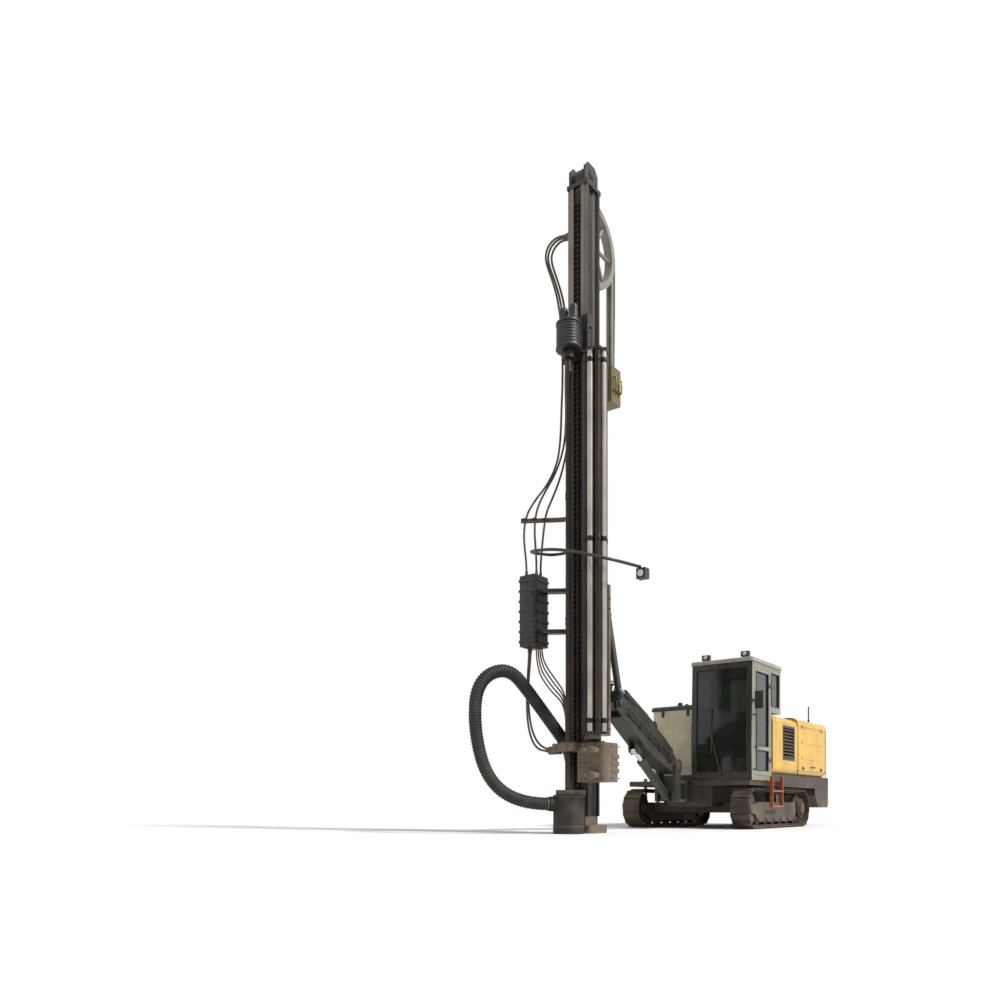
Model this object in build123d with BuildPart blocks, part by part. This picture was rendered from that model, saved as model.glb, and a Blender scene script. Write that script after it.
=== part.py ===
from build123d import *
from math import cos, degrees, pi, radians, sin, tan
import os

# A crawler drilling rig, in millimetres: +X ahead, +Y to the left, +Z up, the ground at z = 0.
# Places along X are counted from the middle of the tracks, which stands at track_centre_x.

os.makedirs("parts", exist_ok=True)

track_centre_x = -1530
running_gap = 5
seat_gap = 0.3
slide_gap = 0.5
pin_gap = 0.05

# tracks
track_length = 3300
track_height = 720
track_gauge = 2070
shoe_width = 330
shoe_count = 46
shoe_gap = 12
shoe_thickness = 14
grouser_height = 22
grouser_width = 26
link_height = 32
link_width = 120
roller_count = 6
roller_radius = 88
roller_pitch = 380
idler_width = 100
sprocket_teeth = 15
sprocket_width = 60
axle_radius = 36

# track frames and chassis
track_frame_width = 140
track_frame_bottom = 260
track_frame_top = 470
cheek_thickness = 20
cheek_bottom = 120
chassis_half_length = 1320
chassis_width = 840
chassis_bottom = 390
chassis_top = 760
cross_beam_x = 700
cross_beam_length = 300
cross_beam_height = 190
nose_rear = chassis_half_length
nose_plate_thickness = 50
nose_half_width = 120

# deck and body
deck_bottom = chassis_top
deck_rear = -2900
deck_overhang = 130
deck_front = chassis_half_length + deck_overhang
deck_step_x = 440
deck_low_top = 850
deck_high_top = 990
deck_half_width = 1150
counterweight_rear = -3100
counterweight_front = -2200
counterweight_bottom = 370
counterweight_half_width = 1140
tow_eye_radius = 25
tow_lug_half_width = 70
tow_lug_reach = 120
tow_lug_z = (560, 600)
lifting_eye_radius = 30
hood_half_width = 1190
hood_rear = -2740
hood_split_x = -950
hood_top = 2100
hood_corner = 130
hood_wall = 25
front_hood_front = 425
front_hood_top = 2050
front_hood_right = -200
cooler_half_width = 900
cooler_top = 1850
engine_length = 1200
engine_width = 900
engine_height = 760

# lids of the hood
lid_rear = -2650
lid_front = -1050
lid_bottom = 1080
lid_top = 1950
lid_gap = 6
hinge_stand_off = 16
hinge_radius = 12
hinge_pin_radius = 6

# dust collector, exhaust and steps
collector_rear = -900
collector_left = -230
collector_right = -1190
collector_top = 2330
collector_lid_height = 90
step_gap = 10
step_depth = 60
step_rear = 100
step_front = 650
step_bottom = 380
step_top = 930
step_plate = 30

# cab
cab_left = 1170
cab_right = 70
cab_front = 1400
cab_nose = 1420
cab_nose_z = 1500
cab_top_front = 1370
cab_rear = -30
cab_step_x = 450
cab_step_z = 2080
cab_top = 2890
cab_wall = 55
roof_thickness = 70
roof_overhang = 40
pane_thickness = 8
pane_inset = 18
door_rear = 540
door_front = 1270
door_bottom = 930
door_top = 2800
door_gap = 6
door_front_gap = 11
door_frame = 70
window_bar = 90

# boom and its base
boom_y = -100
nose_reach = 430
swing_pivot_x = nose_rear + nose_reach
swing_pivot_radius = 90
swing_pin_radius = 45
base_low = 520
base_high = 800
lift_pivot_x = swing_pivot_x + 200
lift_pivot_z = 1080
lift_pin_radius = 45
boom_end_radius = 130
cheek_inner = 135
base_cheek = 50
boom_length = 2200
boom_angle = 24.7
boom_width = 300
boom_slot = 224
boom_slot_depth = 190
tilt_pin_radius = 40
ear_inner = 50
ear_thickness = 24
eye_gap = 2
lift_rear_eye_x = lift_pivot_x + 130
lift_rear_eye_z = 560
lift_front_eye = (1250, -330)
lift_barrel_radius = 70
lift_rod_radius = 40
lift_travel = (130, 260)
lift_eye_room = 155
tilt_rear_eye = (900, 335)
tilt_front_eye = (-60, 330)
tilt_barrel_radius = 62
tilt_rod_radius = 35
tilt_travel = (240, 140)
tilt_eye_room = 102
eye_radius = 62
eye_pin_radius = 30
gland_length = 70
barrel_neck = 30
neck_radius = 38

# boom head, feed holder and feed swing
knuckle_length = 201.28
head_hub_x = lift_pivot_x + boom_length * cos(radians(boom_angle)) + knuckle_length
head_hub_front = head_hub_x + 245
head_hub_radius = 130
spindle_radius = 70
holder_back = head_hub_front + 5
holder_plate = 60
holder_half_width = 230
holder_bottom = 1450
holder_top = 3710
claw_height = 250
claw_low = 1500
claw_high = 3300
swing_cylinder_x = head_hub_x + 180
swing_low_eye = (330, 2080)
swing_high_eye = (90, 3560)
swing_barrel_radius = 52
swing_rod_radius = 30
swing_travel = (120, 120)
swing_eye_room = 110
rod_grip = 130
swing_ear_inner = 45
swing_ear_thickness = 20

# feed beam
beam_x = head_hub_x + 640
beam_depth = 380
beam_width = 280
beam_bottom = 250
beam_top = 9450
rail_depth = 40
rail_reach = 28
rail_rear_inset = 20
groove_depth = 24
groove_seat = 48
crown_height = 350
crown_top = beam_top + crown_height
foot_height = 120
extension_x = head_hub_x + 375
extension_barrel_radius = 50
extension_rod_radius = 28
extension_low = 1520
extension_high = 3000
extension_stroke = 1200
drill_axis_x = beam_x + 420
string_radius = 44
hammer_radius = 52
hammer_top = 1200
string_bottom = 90
guide_bore = 62
table_bottom = 1180
table_height = 110
guide_bottom = 560
guide_height = 70
gripper_bottom = 740
gripper_top = 1290
gripper_reach = 640
suction_radius = 222
suction_wall = 12
suction_bottom = 60

# rotation head and drill string
head_bottom = 6950
head_height = 400
gearbox_radius = 170
sled_height = 620
sled_half_width = 205
sled_plate = 45
chuck_radius = 85
chuck_height = 120
shank_radius = 40
shank_length = 60
motor_radius = 62
motor_height = 210

# rod carousel
carousel_x = drill_axis_x - 20
carousel_offset_y = 430
carousel_ring = 135
carousel_rods = 8
carousel_rod_radius = 44
carousel_plate_radius = 190
carousel_bottom = 1400
carousel_top = 6800
carousel_plate = 40
carousel_shaft = 35
bracket_height = 55

# parts on the feed's right side and at its top
valve_box_x = beam_x + 260
valve_box_y = -820
valve_box_size = (340, 280, 1060)
valve_box_bottom = 2780
rack_z = 4700
rack_tip = (beam_x + 340, -1000)
rack_radius = 35
hose_clamp_y = -200
hose_clamp_z = beam_top - 530
line_radius = 16
guide_wheel_z = beam_top - 650
guide_wheel_radius = 620
guide_wheel_width = 130
guide_rim = 90
guide_pipe_radius = 27
junction_bottom = 6600
junction_top = 7150
junction_depth = 280
junction_half_width = 110
lamp_z = 3760
hoop_radius = 22


def write(builder, name):
    """Label a finished piece and write it to its own file."""
    builder.part.label = name
    export_step(builder.part, f"parts/{name}.step")


def along(x):
    """X of a place that is counted from the middle of the tracks."""
    return track_centre_x + x


def side_plane(y):
    """Upright plane at this Y, with X to the right and Z up; it extrudes towards -Y."""
    return Plane(origin=(0, y, 0), x_dir=(1, 0, 0), z_dir=(0, -1, 0))


def block(x0, x1, y0, y1, z0, z1, mode=Mode.ADD):
    """Box between two corners."""
    with Locations(((x0 + x1) / 2, (y0 + y1) / 2, (z0 + z1) / 2)):
        Box(x1 - x0, y1 - y0, z1 - z0, mode=mode)


def prism(plane, points, amount, both=False, mode=Mode.ADD):
    """Outline of straight edges on a plane, made solid."""
    with BuildSketch(plane) as outline:
        with BuildLine():
            Polyline(*points, close=True)
        make_face()
    extrude(outline.sketch, amount=amount, both=both, mode=mode)


def bar(start, end, radius, mode=Mode.ADD):
    """Round bar between two points."""
    run = Vector(*end) - Vector(*start)
    with BuildSketch(Plane(origin=start, z_dir=run)) as section:
        Circle(radius)
    extrude(section.sketch, amount=run.length, mode=mode)


def upright(x, y, z0, z1, radius, mode=Mode.ADD):
    """Round bar that stands up."""
    bar((x, y, z0), (x, y, z1), radius, mode)


def crosswise(x, z, y0, y1, radius, mode=Mode.ADD):
    """Round bar that runs from side to side."""
    bar((x, y0, z), (x, y1, z), radius, mode)


# Tracks: one fixed loop each, with straight shoes and a grouser on every shoe

wheel_z = track_height / 2
wheel_base = track_length - track_height
shoe_line_radius = wheel_z - grouser_height - shoe_thickness
link_inner_radius = shoe_line_radius - link_height
wheel_radius = link_inner_radius - seat_gap
shoe_line_length = 2 * wheel_base + 2 * pi * shoe_line_radius
shoe_pitch = shoe_line_length / shoe_count
cheek_outer = track_frame_width / 2 + cheek_thickness


def place_on_track(distance):
    """Location on the shoe line, with its first axis pointing outwards."""
    half_turn = pi * shoe_line_radius
    lap = distance % shoe_line_length
    if lap < wheel_base:
        return Location((lap - wheel_base / 2, wheel_z - shoe_line_radius, 0), (0, 0, -90))
    lap -= wheel_base
    if lap < half_turn:
        turn = lap / shoe_line_radius
        x = wheel_base / 2 + shoe_line_radius * sin(turn)
        z = wheel_z - shoe_line_radius * cos(turn)
        return Location((x, z, 0), (0, 0, degrees(turn) - 90))
    lap -= half_turn
    if lap < wheel_base:
        return Location((wheel_base / 2 - lap, wheel_z + shoe_line_radius, 0), (0, 0, 90))
    turn = (lap - wheel_base) / shoe_line_radius
    x = -wheel_base / 2 - shoe_line_radius * sin(turn)
    z = wheel_z + shoe_line_radius * cos(turn)
    return Location((x, z, 0), (0, 0, degrees(turn) + 90))


def make_track(y, name):
    """Loop of links with its shoes."""
    middle = Plane(origin=(track_centre_x, y, 0), x_dir=(1, 0, 0), z_dir=(0, -1, 0))
    shoe_places = [place_on_track(i * shoe_pitch) for i in range(shoe_count)]
    link_bite = 4
    with BuildPart() as track:
        with BuildSketch(middle) as links:
            with Locations((0, wheel_z)):
                SlotCenterToCenter(wheel_base, 2 * (shoe_line_radius + link_bite))
                SlotCenterToCenter(wheel_base, 2 * link_inner_radius, mode=Mode.SUBTRACT)
        extrude(links.sketch, amount=link_width / 2, both=True)
        with BuildSketch(middle) as shoes:
            with Locations(*shoe_places):
                Rectangle(shoe_thickness, shoe_pitch - shoe_gap, align=(Align.MIN, Align.CENTER))
                Rectangle(
                    shoe_thickness + grouser_height, grouser_width, align=(Align.MIN, Align.CENTER)
                )
        extrude(shoes.sketch, amount=shoe_width / 2, both=True)
    write(track, name)


def make_rollers(y, name):
    """Sprocket, idler and rollers, each on its axle."""
    axle_half = track_frame_width / 2
    front = along(wheel_base / 2)
    rear = along(-wheel_base / 2)
    low_z = wheel_z - link_inner_radius + seat_gap + roller_radius
    high_z = wheel_z + link_inner_radius - seat_gap - roller_radius
    roller_half = axle_half - running_gap
    with BuildPart() as rollers:
        crosswise(front, wheel_z, y - idler_width / 2, y + idler_width / 2, wheel_radius)
        crosswise(front, wheel_z, y - axle_half, y + axle_half, axle_radius)
        for step in range(roller_count):
            x = along((step - (roller_count - 1) / 2) * roller_pitch)
            crosswise(x, low_z, y - roller_half, y + roller_half, roller_radius)
            crosswise(x, low_z, y - axle_half, y + axle_half, axle_radius)
        crosswise(along(0), high_z, y - roller_half, y + roller_half, roller_radius)
        crosswise(along(0), high_z, y - axle_half, y + axle_half, axle_radius)
        tooth = 30
        side = 1 if y > 0 else -1
        hub_face = y - side * cheek_outer
        with BuildSketch(
            Plane(origin=(rear, y, wheel_z), x_dir=(1, 0, 0), z_dir=(0, -1, 0))
        ) as wheel:
            Circle(wheel_radius - tooth)
            with PolarLocations(wheel_radius - tooth, sprocket_teeth):
                Trapezoid(2 * tooth, 1.9 * tooth, 68, rotation=-90)
        extrude(wheel.sketch, amount=sprocket_width / 2, both=True)
        drive_radius = 0.62 * wheel_radius
        crosswise(rear, wheel_z, hub_face, y + side * 110, drive_radius)
        crosswise(rear, wheel_z, y + side * 110, y + side * 135, 0.7 * drive_radius)
    write(rollers, name)


def make_track_frame(y, name):
    """Box beam with the cheeks that hold the rollers, the idler and the drive."""
    half = track_frame_width / 2
    inside = -1 if y > 0 else 1
    front = wheel_base / 2
    with BuildPart() as frame:
        plane = Plane(origin=(track_centre_x, y, 0), x_dir=(1, 0, 0), z_dir=(0, -1, 0))
        beam_points = [
            (-front + wheel_radius + 30, track_frame_bottom),
            (front - wheel_radius - 30, track_frame_bottom),
            (front - wheel_radius - 30, track_frame_top),
            (-front + wheel_radius + 30, track_frame_top),
        ]
        prism(plane, beam_points, half, both=True)
        cheek_points = [
            (-front + 330, cheek_bottom),
            (front - 330, cheek_bottom),
            (front - 180, 260),
            (front + 60, 290),
            (front + 60, 430),
            (front - 120, 430),
            (front - 330, track_frame_top),
            (-front + 300, track_frame_top),
            (-front + 260, 300),
        ]
        for hand in (-1, 1):
            cheek_plane = plane.offset(-half if hand < 0 else half + cheek_thickness)
            prism(cheek_plane, cheek_points, -cheek_thickness)
        drive_plate = [
            (-front - 170, 250),
            (-front + 420, 250),
            (-front + 420, track_frame_top),
            (-front - 170, track_frame_top),
        ]
        outer_face = y + inside * cheek_outer
        plate_plane = Plane(
            origin=(track_centre_x, outer_face, 0), x_dir=(1, 0, 0), z_dir=(0, -1, 0)
        )
        prism(plate_plane, drive_plate, -inside * cheek_thickness)
        upper_roller_z = wheel_z + link_inner_radius - seat_gap - roller_radius
        for hand in (-1, 1):
            y0 = y + hand * (half + cheek_thickness / 2)
            block(
                along(-70),
                along(70),
                y0 - cheek_thickness / 2,
                y0 + cheek_thickness / 2,
                track_frame_top,
                upper_roller_z + axle_radius + 12,
            )
    write(frame, name)


for hand, side_name in ((1, "left"), (-1, "right")):
    track_y = hand * track_gauge / 2
    make_track(track_y, f"track_{side_name}")
    make_rollers(track_y, f"rollers_{side_name}")
    make_track_frame(track_y, f"track_frame_{side_name}")

# Chassis: centre box, two cross beams out to the track frames, and the nose lugs for the boom

frame_inner_face = track_gauge / 2 - cheek_outer
nose_low = base_low - nose_plate_thickness
nose_low_top = base_low
nose_high = base_high

with BuildPart() as chassis:
    block(
        along(-chassis_half_length),
        along(chassis_half_length),
        -chassis_width / 2,
        chassis_width / 2,
        chassis_bottom,
        chassis_top,
    )
    for beam_place in (-cross_beam_x, cross_beam_x):
        block(
            along(beam_place - cross_beam_length / 2),
            along(beam_place + cross_beam_length / 2),
            -frame_inner_face,
            frame_inner_face,
            track_frame_bottom + 20,
            track_frame_bottom + 20 + cross_beam_height,
        )
    for low in (nose_low, nose_high):
        with BuildSketch(Plane.XY.offset(low)) as nose_plate:
            with Locations((along((nose_rear + swing_pivot_x) / 2), boom_y)):
                Rectangle(swing_pivot_x - nose_rear, 2 * nose_half_width)
            with Locations((along(swing_pivot_x), boom_y)):
                Circle(nose_half_width)
        extrude(nose_plate.sketch, amount=nose_plate_thickness)
    block(
        along(nose_rear),
        along(nose_rear + 230),
        boom_y - nose_half_width,
        boom_y + nose_half_width,
        nose_low,
        nose_high + nose_plate_thickness,
    )
    upright(
        along(swing_pivot_x),
        boom_y,
        nose_low,
        nose_high + nose_plate_thickness + 20,
        swing_pin_radius,
    )
write(chassis, "chassis")

# Deck: a low front part under the cab and a deeper rear part under the hood

with BuildPart() as deck:
    deck_points = [
        (along(deck_rear), deck_bottom),
        (along(deck_front), deck_bottom),
        (along(deck_front), deck_low_top),
        (along(deck_step_x), deck_low_top),
        (along(deck_step_x), deck_high_top),
        (along(deck_rear), deck_high_top),
    ]
    prism(side_plane(0), deck_points, deck_half_width, both=True)
    block(
        along(nose_rear - 10),
        along(deck_front),
        boom_y - nose_half_width - 60,
        boom_y + nose_half_width + 60,
        deck_bottom,
        deck_low_top,
        mode=Mode.SUBTRACT,
    )
write(deck, "deck")

# Rear counterweight with a tow eye and two lifting eyes

with BuildPart() as rear_counterweight:
    weight_points = [
        (along(counterweight_front), deck_bottom),
        (along(counterweight_front), 620),
        (along(counterweight_front - 250), counterweight_bottom),
        (along(counterweight_rear + 60), counterweight_bottom),
        (along(counterweight_rear), counterweight_bottom + 60),
        (along(counterweight_rear), deck_high_top),
        (along(deck_rear), deck_high_top),
        (along(deck_rear), deck_bottom),
    ]
    prism(side_plane(0), weight_points, counterweight_half_width, both=True)
    block(
        along(counterweight_rear - tow_lug_reach),
        along(counterweight_rear),
        -tow_lug_half_width,
        tow_lug_half_width,
        *tow_lug_z,
    )
    upright(along(counterweight_rear - 60), 0, *tow_lug_z, tow_eye_radius, Mode.SUBTRACT)
    for hand in (-1, 1):
        y0 = hand * 700
        block(
            along(counterweight_rear - 110), along(counterweight_rear), y0 - 20, y0 + 20, 700, 840
        )
        crosswise(
            along(counterweight_rear - 55), 770, y0 - 20, y0 + 20, lifting_eye_radius, Mode.SUBTRACT
        )
write(rear_counterweight, "rear_counterweight")

# Main hood: rounded box over the engine, open at both sides where the lids close it


def hood_solid(x0, x1, right, left, top, corner, mode=Mode.ADD):
    """Length of hood from the deck up, with both top edges rounded."""
    with BuildSketch(Plane.YZ.offset(x0)) as section:
        with Locations(((left + right) / 2, (deck_high_top + top) / 2)):
            Rectangle(left - right, top - deck_high_top)
        fillet(section.vertices().group_by(Axis.Z)[-1], corner)
    extrude(section.sketch, amount=x1 - x0, mode=mode)


hinge_places = (0.12, 0.88)


def hinge_along_x(x, y, z, side, own):
    """Knuckle of a lid hinge: the fixed half carries the pin, the lid's half is bored."""
    half = 40
    if own:
        bar((x, y, z), (x + half, y, z), hinge_radius)
        bar((x - half, y, z), (x + half, y, z), hinge_pin_radius)
        block(
            x, x + half, min(y, y - side * hinge_stand_off), max(y, y - side * hinge_stand_off),
            z, z + hinge_radius,
        )
    else:
        bar((x - half, y, z), (x - seat_gap, y, z), hinge_radius)
        block(
            x - half, x - seat_gap, min(y, y - side * hinge_stand_off),
            max(y, y - side * hinge_stand_off), z - 3 * hinge_radius, z,
        )
        bar((x - half, y, z), (x, y, z), hinge_pin_radius + pin_gap, Mode.SUBTRACT)


lid_hinge_z = lid_top - 1
lid_hinge_xs = [along(lid_rear + share * (lid_front - lid_rear)) for share in hinge_places]

with BuildPart() as hood_main:
    hood_solid(
        along(hood_rear), along(hood_split_x), -hood_half_width, hood_half_width, hood_top,
        hood_corner,
    )
    hood_solid(
        along(hood_rear + hood_wall), along(hood_split_x - hood_wall),
        -hood_half_width + hood_wall, hood_half_width - hood_wall, hood_top - hood_wall,
        hood_corner - hood_wall, Mode.SUBTRACT,
    )
    block(
        along(lid_rear),
        along(lid_front),
        -hood_half_width - 1,
        hood_half_width + 1,
        lid_bottom,
        lid_top,
        mode=Mode.SUBTRACT,
    )
    for side in (1, -1):
        for x in lid_hinge_xs:
            hinge_along_x(x, side * (hood_half_width + hinge_stand_off), lid_hinge_z, side, True)
write(hood_main, "hood_main")

# Gull-wing lids, each the full thickness of the hood's wall, with two pressed ribs

for side, side_name in ((1, "left"), (-1, "right")):
    with BuildPart() as lid:
        outer = side * hood_half_width
        inner = side * (hood_half_width - hood_wall)
        block(
            along(lid_rear + lid_gap),
            along(lid_front - lid_gap),
            min(inner, outer),
            max(inner, outer),
            lid_bottom + lid_gap,
            lid_top - lid_gap,
        )
        rib = 8
        for z in (lid_bottom + 230, lid_top - 330):
            block(
                along(lid_rear + 150),
                along(lid_front - 150),
                min(outer, outer + side * rib),
                max(outer, outer + side * rib),
                z,
                z + 70,
            )
        for x in lid_hinge_xs:
            hinge_along_x(x, side * (hood_half_width + hinge_stand_off), lid_hinge_z, side, False)
    write(lid, f"hood_lid_{side_name}")

# Front hood: lower, reaching forward under the back of the cab, with a louvred panel

louvre_rear = -780
louvre_front = -90
louvre_bottom = 1250
louvre_top = 1900
louvre_slats = 9
louvre_frame = 45

with BuildPart() as hood_front:
    hood_solid(
        along(hood_split_x), along(front_hood_front), front_hood_right, hood_half_width,
        front_hood_top, hood_corner,
    )
    hood_solid(
        along(hood_split_x - 1), along(front_hood_front - hood_wall),
        front_hood_right + hood_wall, hood_half_width - hood_wall, front_hood_top - hood_wall,
        hood_corner - hood_wall, Mode.SUBTRACT,
    )
    block(
        along(louvre_rear),
        along(louvre_front),
        hood_half_width - hood_wall - 1,
        hood_half_width + 1,
        louvre_bottom,
        louvre_top,
        mode=Mode.SUBTRACT,
    )
write(hood_front, "hood_front")

with BuildPart() as louvre_panel:
    block(
        along(louvre_rear),
        along(louvre_front),
        hood_half_width - hood_wall,
        hood_half_width,
        louvre_bottom,
        louvre_top,
    )
    block(
        along(louvre_rear + louvre_frame),
        along(louvre_front - louvre_frame),
        hood_half_width - hood_wall,
        hood_half_width,
        louvre_bottom + louvre_frame,
        louvre_top - louvre_frame,
        mode=Mode.SUBTRACT,
    )
    slat_pitch = (louvre_top - louvre_bottom - 2 * louvre_frame) / louvre_slats
    for i in range(louvre_slats):
        z = louvre_bottom + louvre_frame + (i + 0.5) * slat_pitch
        slat = [
            (hood_half_width - hood_wall, z + 0.3 * slat_pitch),
            (hood_half_width - hood_wall, z + 0.1 * slat_pitch),
            (hood_half_width, z - 0.3 * slat_pitch),
            (hood_half_width, z - 0.1 * slat_pitch),
        ]
        prism(Plane.YZ.offset(along(louvre_rear + 10)), slat, louvre_front - louvre_rear - 20)
write(louvre_panel, "louvre_panel")

# Engine: one plain block on the deck inside the main hood

with BuildPart() as engine_block:
    engine_middle = (hood_rear + hood_split_x) / 2
    block(
        along(engine_middle - engine_length / 2),
        along(engine_middle + engine_length / 2),
        -engine_width / 2,
        engine_width / 2,
        deck_high_top,
        deck_high_top + engine_height,
    )
write(engine_block, "engine_block")

# Cooler at the back, with upright slats

cooler_frame = 60
cooler_bars = 12

with BuildPart() as cooler:
    block(
        along(counterweight_rear),
        along(hood_rear),
        -cooler_half_width,
        cooler_half_width,
        deck_high_top,
        cooler_top,
    )
    top_rear = cooler.edges().filter_by(Axis.Y).group_by(Axis.Z)[-1].sort_by(Axis.X)[0]
    fillet(top_rear, 60)
    block(
        along(counterweight_rear),
        along(counterweight_rear + 40),
        -cooler_half_width + cooler_frame,
        cooler_half_width - cooler_frame,
        deck_high_top + cooler_frame,
        cooler_top - 2 * cooler_frame,
        mode=Mode.SUBTRACT,
    )
    bar_pitch = (2 * cooler_half_width - 2 * cooler_frame) / cooler_bars
    for i in range(cooler_bars - 1):
        y = -cooler_half_width + cooler_frame + (i + 1) * bar_pitch
        block(
            along(counterweight_rear + 10),
            along(counterweight_rear + 45),
            y - 12,
            y + 12,
            deck_high_top + cooler_frame - 5,
            cooler_top - 2 * cooler_frame + 5,
        )
write(cooler, "cooler")

# Dust collector: a box on the right with a dark lid and a hopper below the filter

with BuildPart() as dust_collector:
    collector_front = front_hood_front
    block(
        along(collector_rear),
        along(collector_front),
        collector_right,
        collector_left,
        deck_high_top,
        collector_top - collector_lid_height,
    )
    front_edges = dust_collector.edges().filter_by(Axis.Z).group_by(Axis.X)[-1]
    fillet(front_edges, 40)
    block(
        along(collector_front),
        along(collector_front + 12),
        collector_right + 120,
        collector_left - 120,
        deck_high_top + 150,
        collector_top - 400,
    )
write(dust_collector, "dust_collector")

with BuildPart() as collector_lid:
    block(
        along(collector_rear - 15),
        along(collector_front + 15),
        collector_right - 15,
        collector_left + 15,
        collector_top - collector_lid_height,
        collector_top,
    )
    lid_edges = collector_lid.faces().sort_by(Axis.Z)[-1].edges()
    chamfer(lid_edges, 30)
write(collector_lid, "collector_lid")

# Steps on both sides, hung from the deck

with BuildPart() as side_steps:
    for hand in (-1, 1):
        near = track_gauge / 2 + shoe_width / 2 + step_gap
        far = near + step_depth
        y0, y1 = sorted((hand * near, hand * far))
        for x in (step_rear, step_front - step_plate):
            block(along(x), along(x + step_plate), y0, y1, step_bottom, step_top)
            arm0, arm1 = sorted((hand * deck_half_width, hand * near))
            block(along(x), along(x + step_plate), arm0, arm1, deck_bottom + 10, deck_low_top)
        for z in (step_bottom, (step_bottom + step_top) / 2):
            block(along(step_rear), along(step_front), y0, y1, z, z + step_plate)
write(side_steps, "side_steps")

# Exhaust stack and antenna on the hood

with BuildPart() as hood_fittings:
    upright(along(-1250), -500, hood_top, hood_top + 60, 90)
    upright(along(-1250), -500, hood_top, 2460, 60)
    upright(along(-1250), -500, hood_top + 200, 2470, 50, Mode.SUBTRACT)
    upright(along(-2550), 900, hood_top, hood_top + 40, 35)
    upright(along(-2550), 900, hood_top, 2480, 12)
write(hood_fittings, "hood_fittings")

# Cab: a hollow shell whose back steps forward over the hood, with its windows cut out

cab_outline = [
    (along(cab_front), deck_low_top),
    (along(cab_nose), cab_nose_z),
    (along(cab_top_front), cab_top),
    (along(cab_rear), cab_top),
    (along(cab_rear), cab_step_z),
    (along(cab_step_x), cab_step_z),
    (along(cab_step_x), deck_low_top),
]
windscreen_bottom = 1000
windscreen_top = 2790
side_window_bottom = 1500
rear_window_bottom = 2190
rear_window_top = 2780


def cab_section(inset):
    """Side outline of the cab, drawn in by this much."""
    with BuildSketch() as section:
        with BuildLine():
            Polyline(*cab_outline, close=True)
        make_face()
        if inset:
            offset(amount=-inset, kind=Kind.INTERSECTION, mode=Mode.REPLACE)
    return section.sketch


def cut_windows(inner, mode):
    """Boxes of all the glazed openings; inner says how far each reaches into the cab."""
    front = (along(cab_front - 150), along(cab_nose + 20))
    block(
        *front, cab_right + window_bar, cab_left - window_bar, windscreen_bottom,
        windscreen_top, mode=mode,
    )
    right = (cab_right - 1, cab_right + inner)
    block(
        along(door_rear + 40), along(door_front - 20), *right, side_window_bottom,
        door_top - 60, mode=mode,
    )
    for y_span in (right, (cab_left - inner, cab_left + 1)):
        block(
            along(cab_rear + 90), along(door_rear - 90), *y_span, rear_window_bottom,
            rear_window_top, mode=mode,
        )
    block(
        along(cab_rear - 1), along(cab_rear + inner), cab_right + window_bar + 60,
        cab_left - window_bar - 60, rear_window_bottom, rear_window_top, mode=mode,
    )


door_hinge_y = cab_left + hinge_stand_off
door_hinge_x = along(door_rear - 2)
door_hinge_zs = (door_bottom + 250, door_top - 300)

with BuildPart() as cab_shell:
    extrude(side_plane(cab_left) * cab_section(0), amount=cab_left - cab_right)
    extrude(
        side_plane(cab_left - cab_wall) * cab_section(cab_wall),
        amount=cab_left - cab_right - 2 * cab_wall,
        mode=Mode.SUBTRACT,
    )
    cut_windows(cab_wall + 1, Mode.SUBTRACT)
    block(
        along(door_rear), along(door_front), cab_left - cab_wall - 1, cab_left + 1,
        door_bottom, door_top, mode=Mode.SUBTRACT,
    )
    for z in door_hinge_zs:
        upright(door_hinge_x, door_hinge_y, z, z + 40, hinge_radius)
        upright(door_hinge_x, door_hinge_y, z, z + 80, hinge_pin_radius)
        block(
            door_hinge_x - 30, door_hinge_x, cab_left, door_hinge_y, z, z + 40
        )
write(cab_shell, "cab_shell")

with BuildPart() as cab_windows:
    with BuildSketch() as glass_band:
        add(cab_section(pane_inset))
        add(cab_section(pane_inset + pane_thickness), mode=Mode.SUBTRACT)
    extrude(side_plane(cab_left - 60) * glass_band.sketch, amount=cab_left - cab_right - 120)
    for y in (cab_right + pane_inset, cab_left - pane_inset - pane_thickness):
        extrude(
            side_plane(y + pane_thickness) * cab_section(pane_inset), amount=pane_thickness
        )
    with BuildPart(mode=Mode.PRIVATE) as openings:
        cut_windows(cab_wall + 1, Mode.ADD)
    add(openings.part, mode=Mode.INTERSECT)
write(cab_windows, "cab_windows")

with BuildPart() as cab_roof:
    block(
        along(cab_rear - roof_overhang),
        along(cab_top_front + roof_overhang),
        cab_right - roof_overhang / 2,
        cab_left + roof_overhang / 2,
        cab_top,
        cab_top + roof_thickness,
    )
    roof_corners = cab_roof.edges().filter_by(Axis.Z)
    fillet(roof_corners, 45)
    chamfer(cab_roof.faces().sort_by(Axis.Z)[-1].edges(), 18)
write(cab_roof, "cab_roof")

# Door: the full thickness of the wall, hinged at its rear edge, with its own pane

with BuildPart() as cab_door:
    block(
        along(door_rear + door_gap), along(door_front - door_front_gap), cab_left - cab_wall,
        cab_left, door_bottom + door_gap, door_top - door_gap,
    )
    block(
        along(door_rear + door_frame), along(door_front - door_frame), cab_left - cab_wall - 1,
        cab_left + 1, door_bottom + 520, door_top - door_frame, mode=Mode.SUBTRACT,
    )
    block(
        along(door_rear + door_frame), along(door_front - door_frame), cab_left - cab_wall - 1,
        cab_left + 1, door_bottom + 90, door_bottom + 440, mode=Mode.SUBTRACT,
    )
    for z in door_hinge_zs:
        upright(door_hinge_x, door_hinge_y, z + 40 + seat_gap, z + 80, hinge_radius)
        block(
            door_hinge_x, along(door_rear + door_frame - 10), cab_left,
            door_hinge_y, z + 40 + seat_gap, z + 80,
        )
        upright(
            door_hinge_x, door_hinge_y, z, z + 90, hinge_pin_radius + pin_gap, Mode.SUBTRACT
        )
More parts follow.
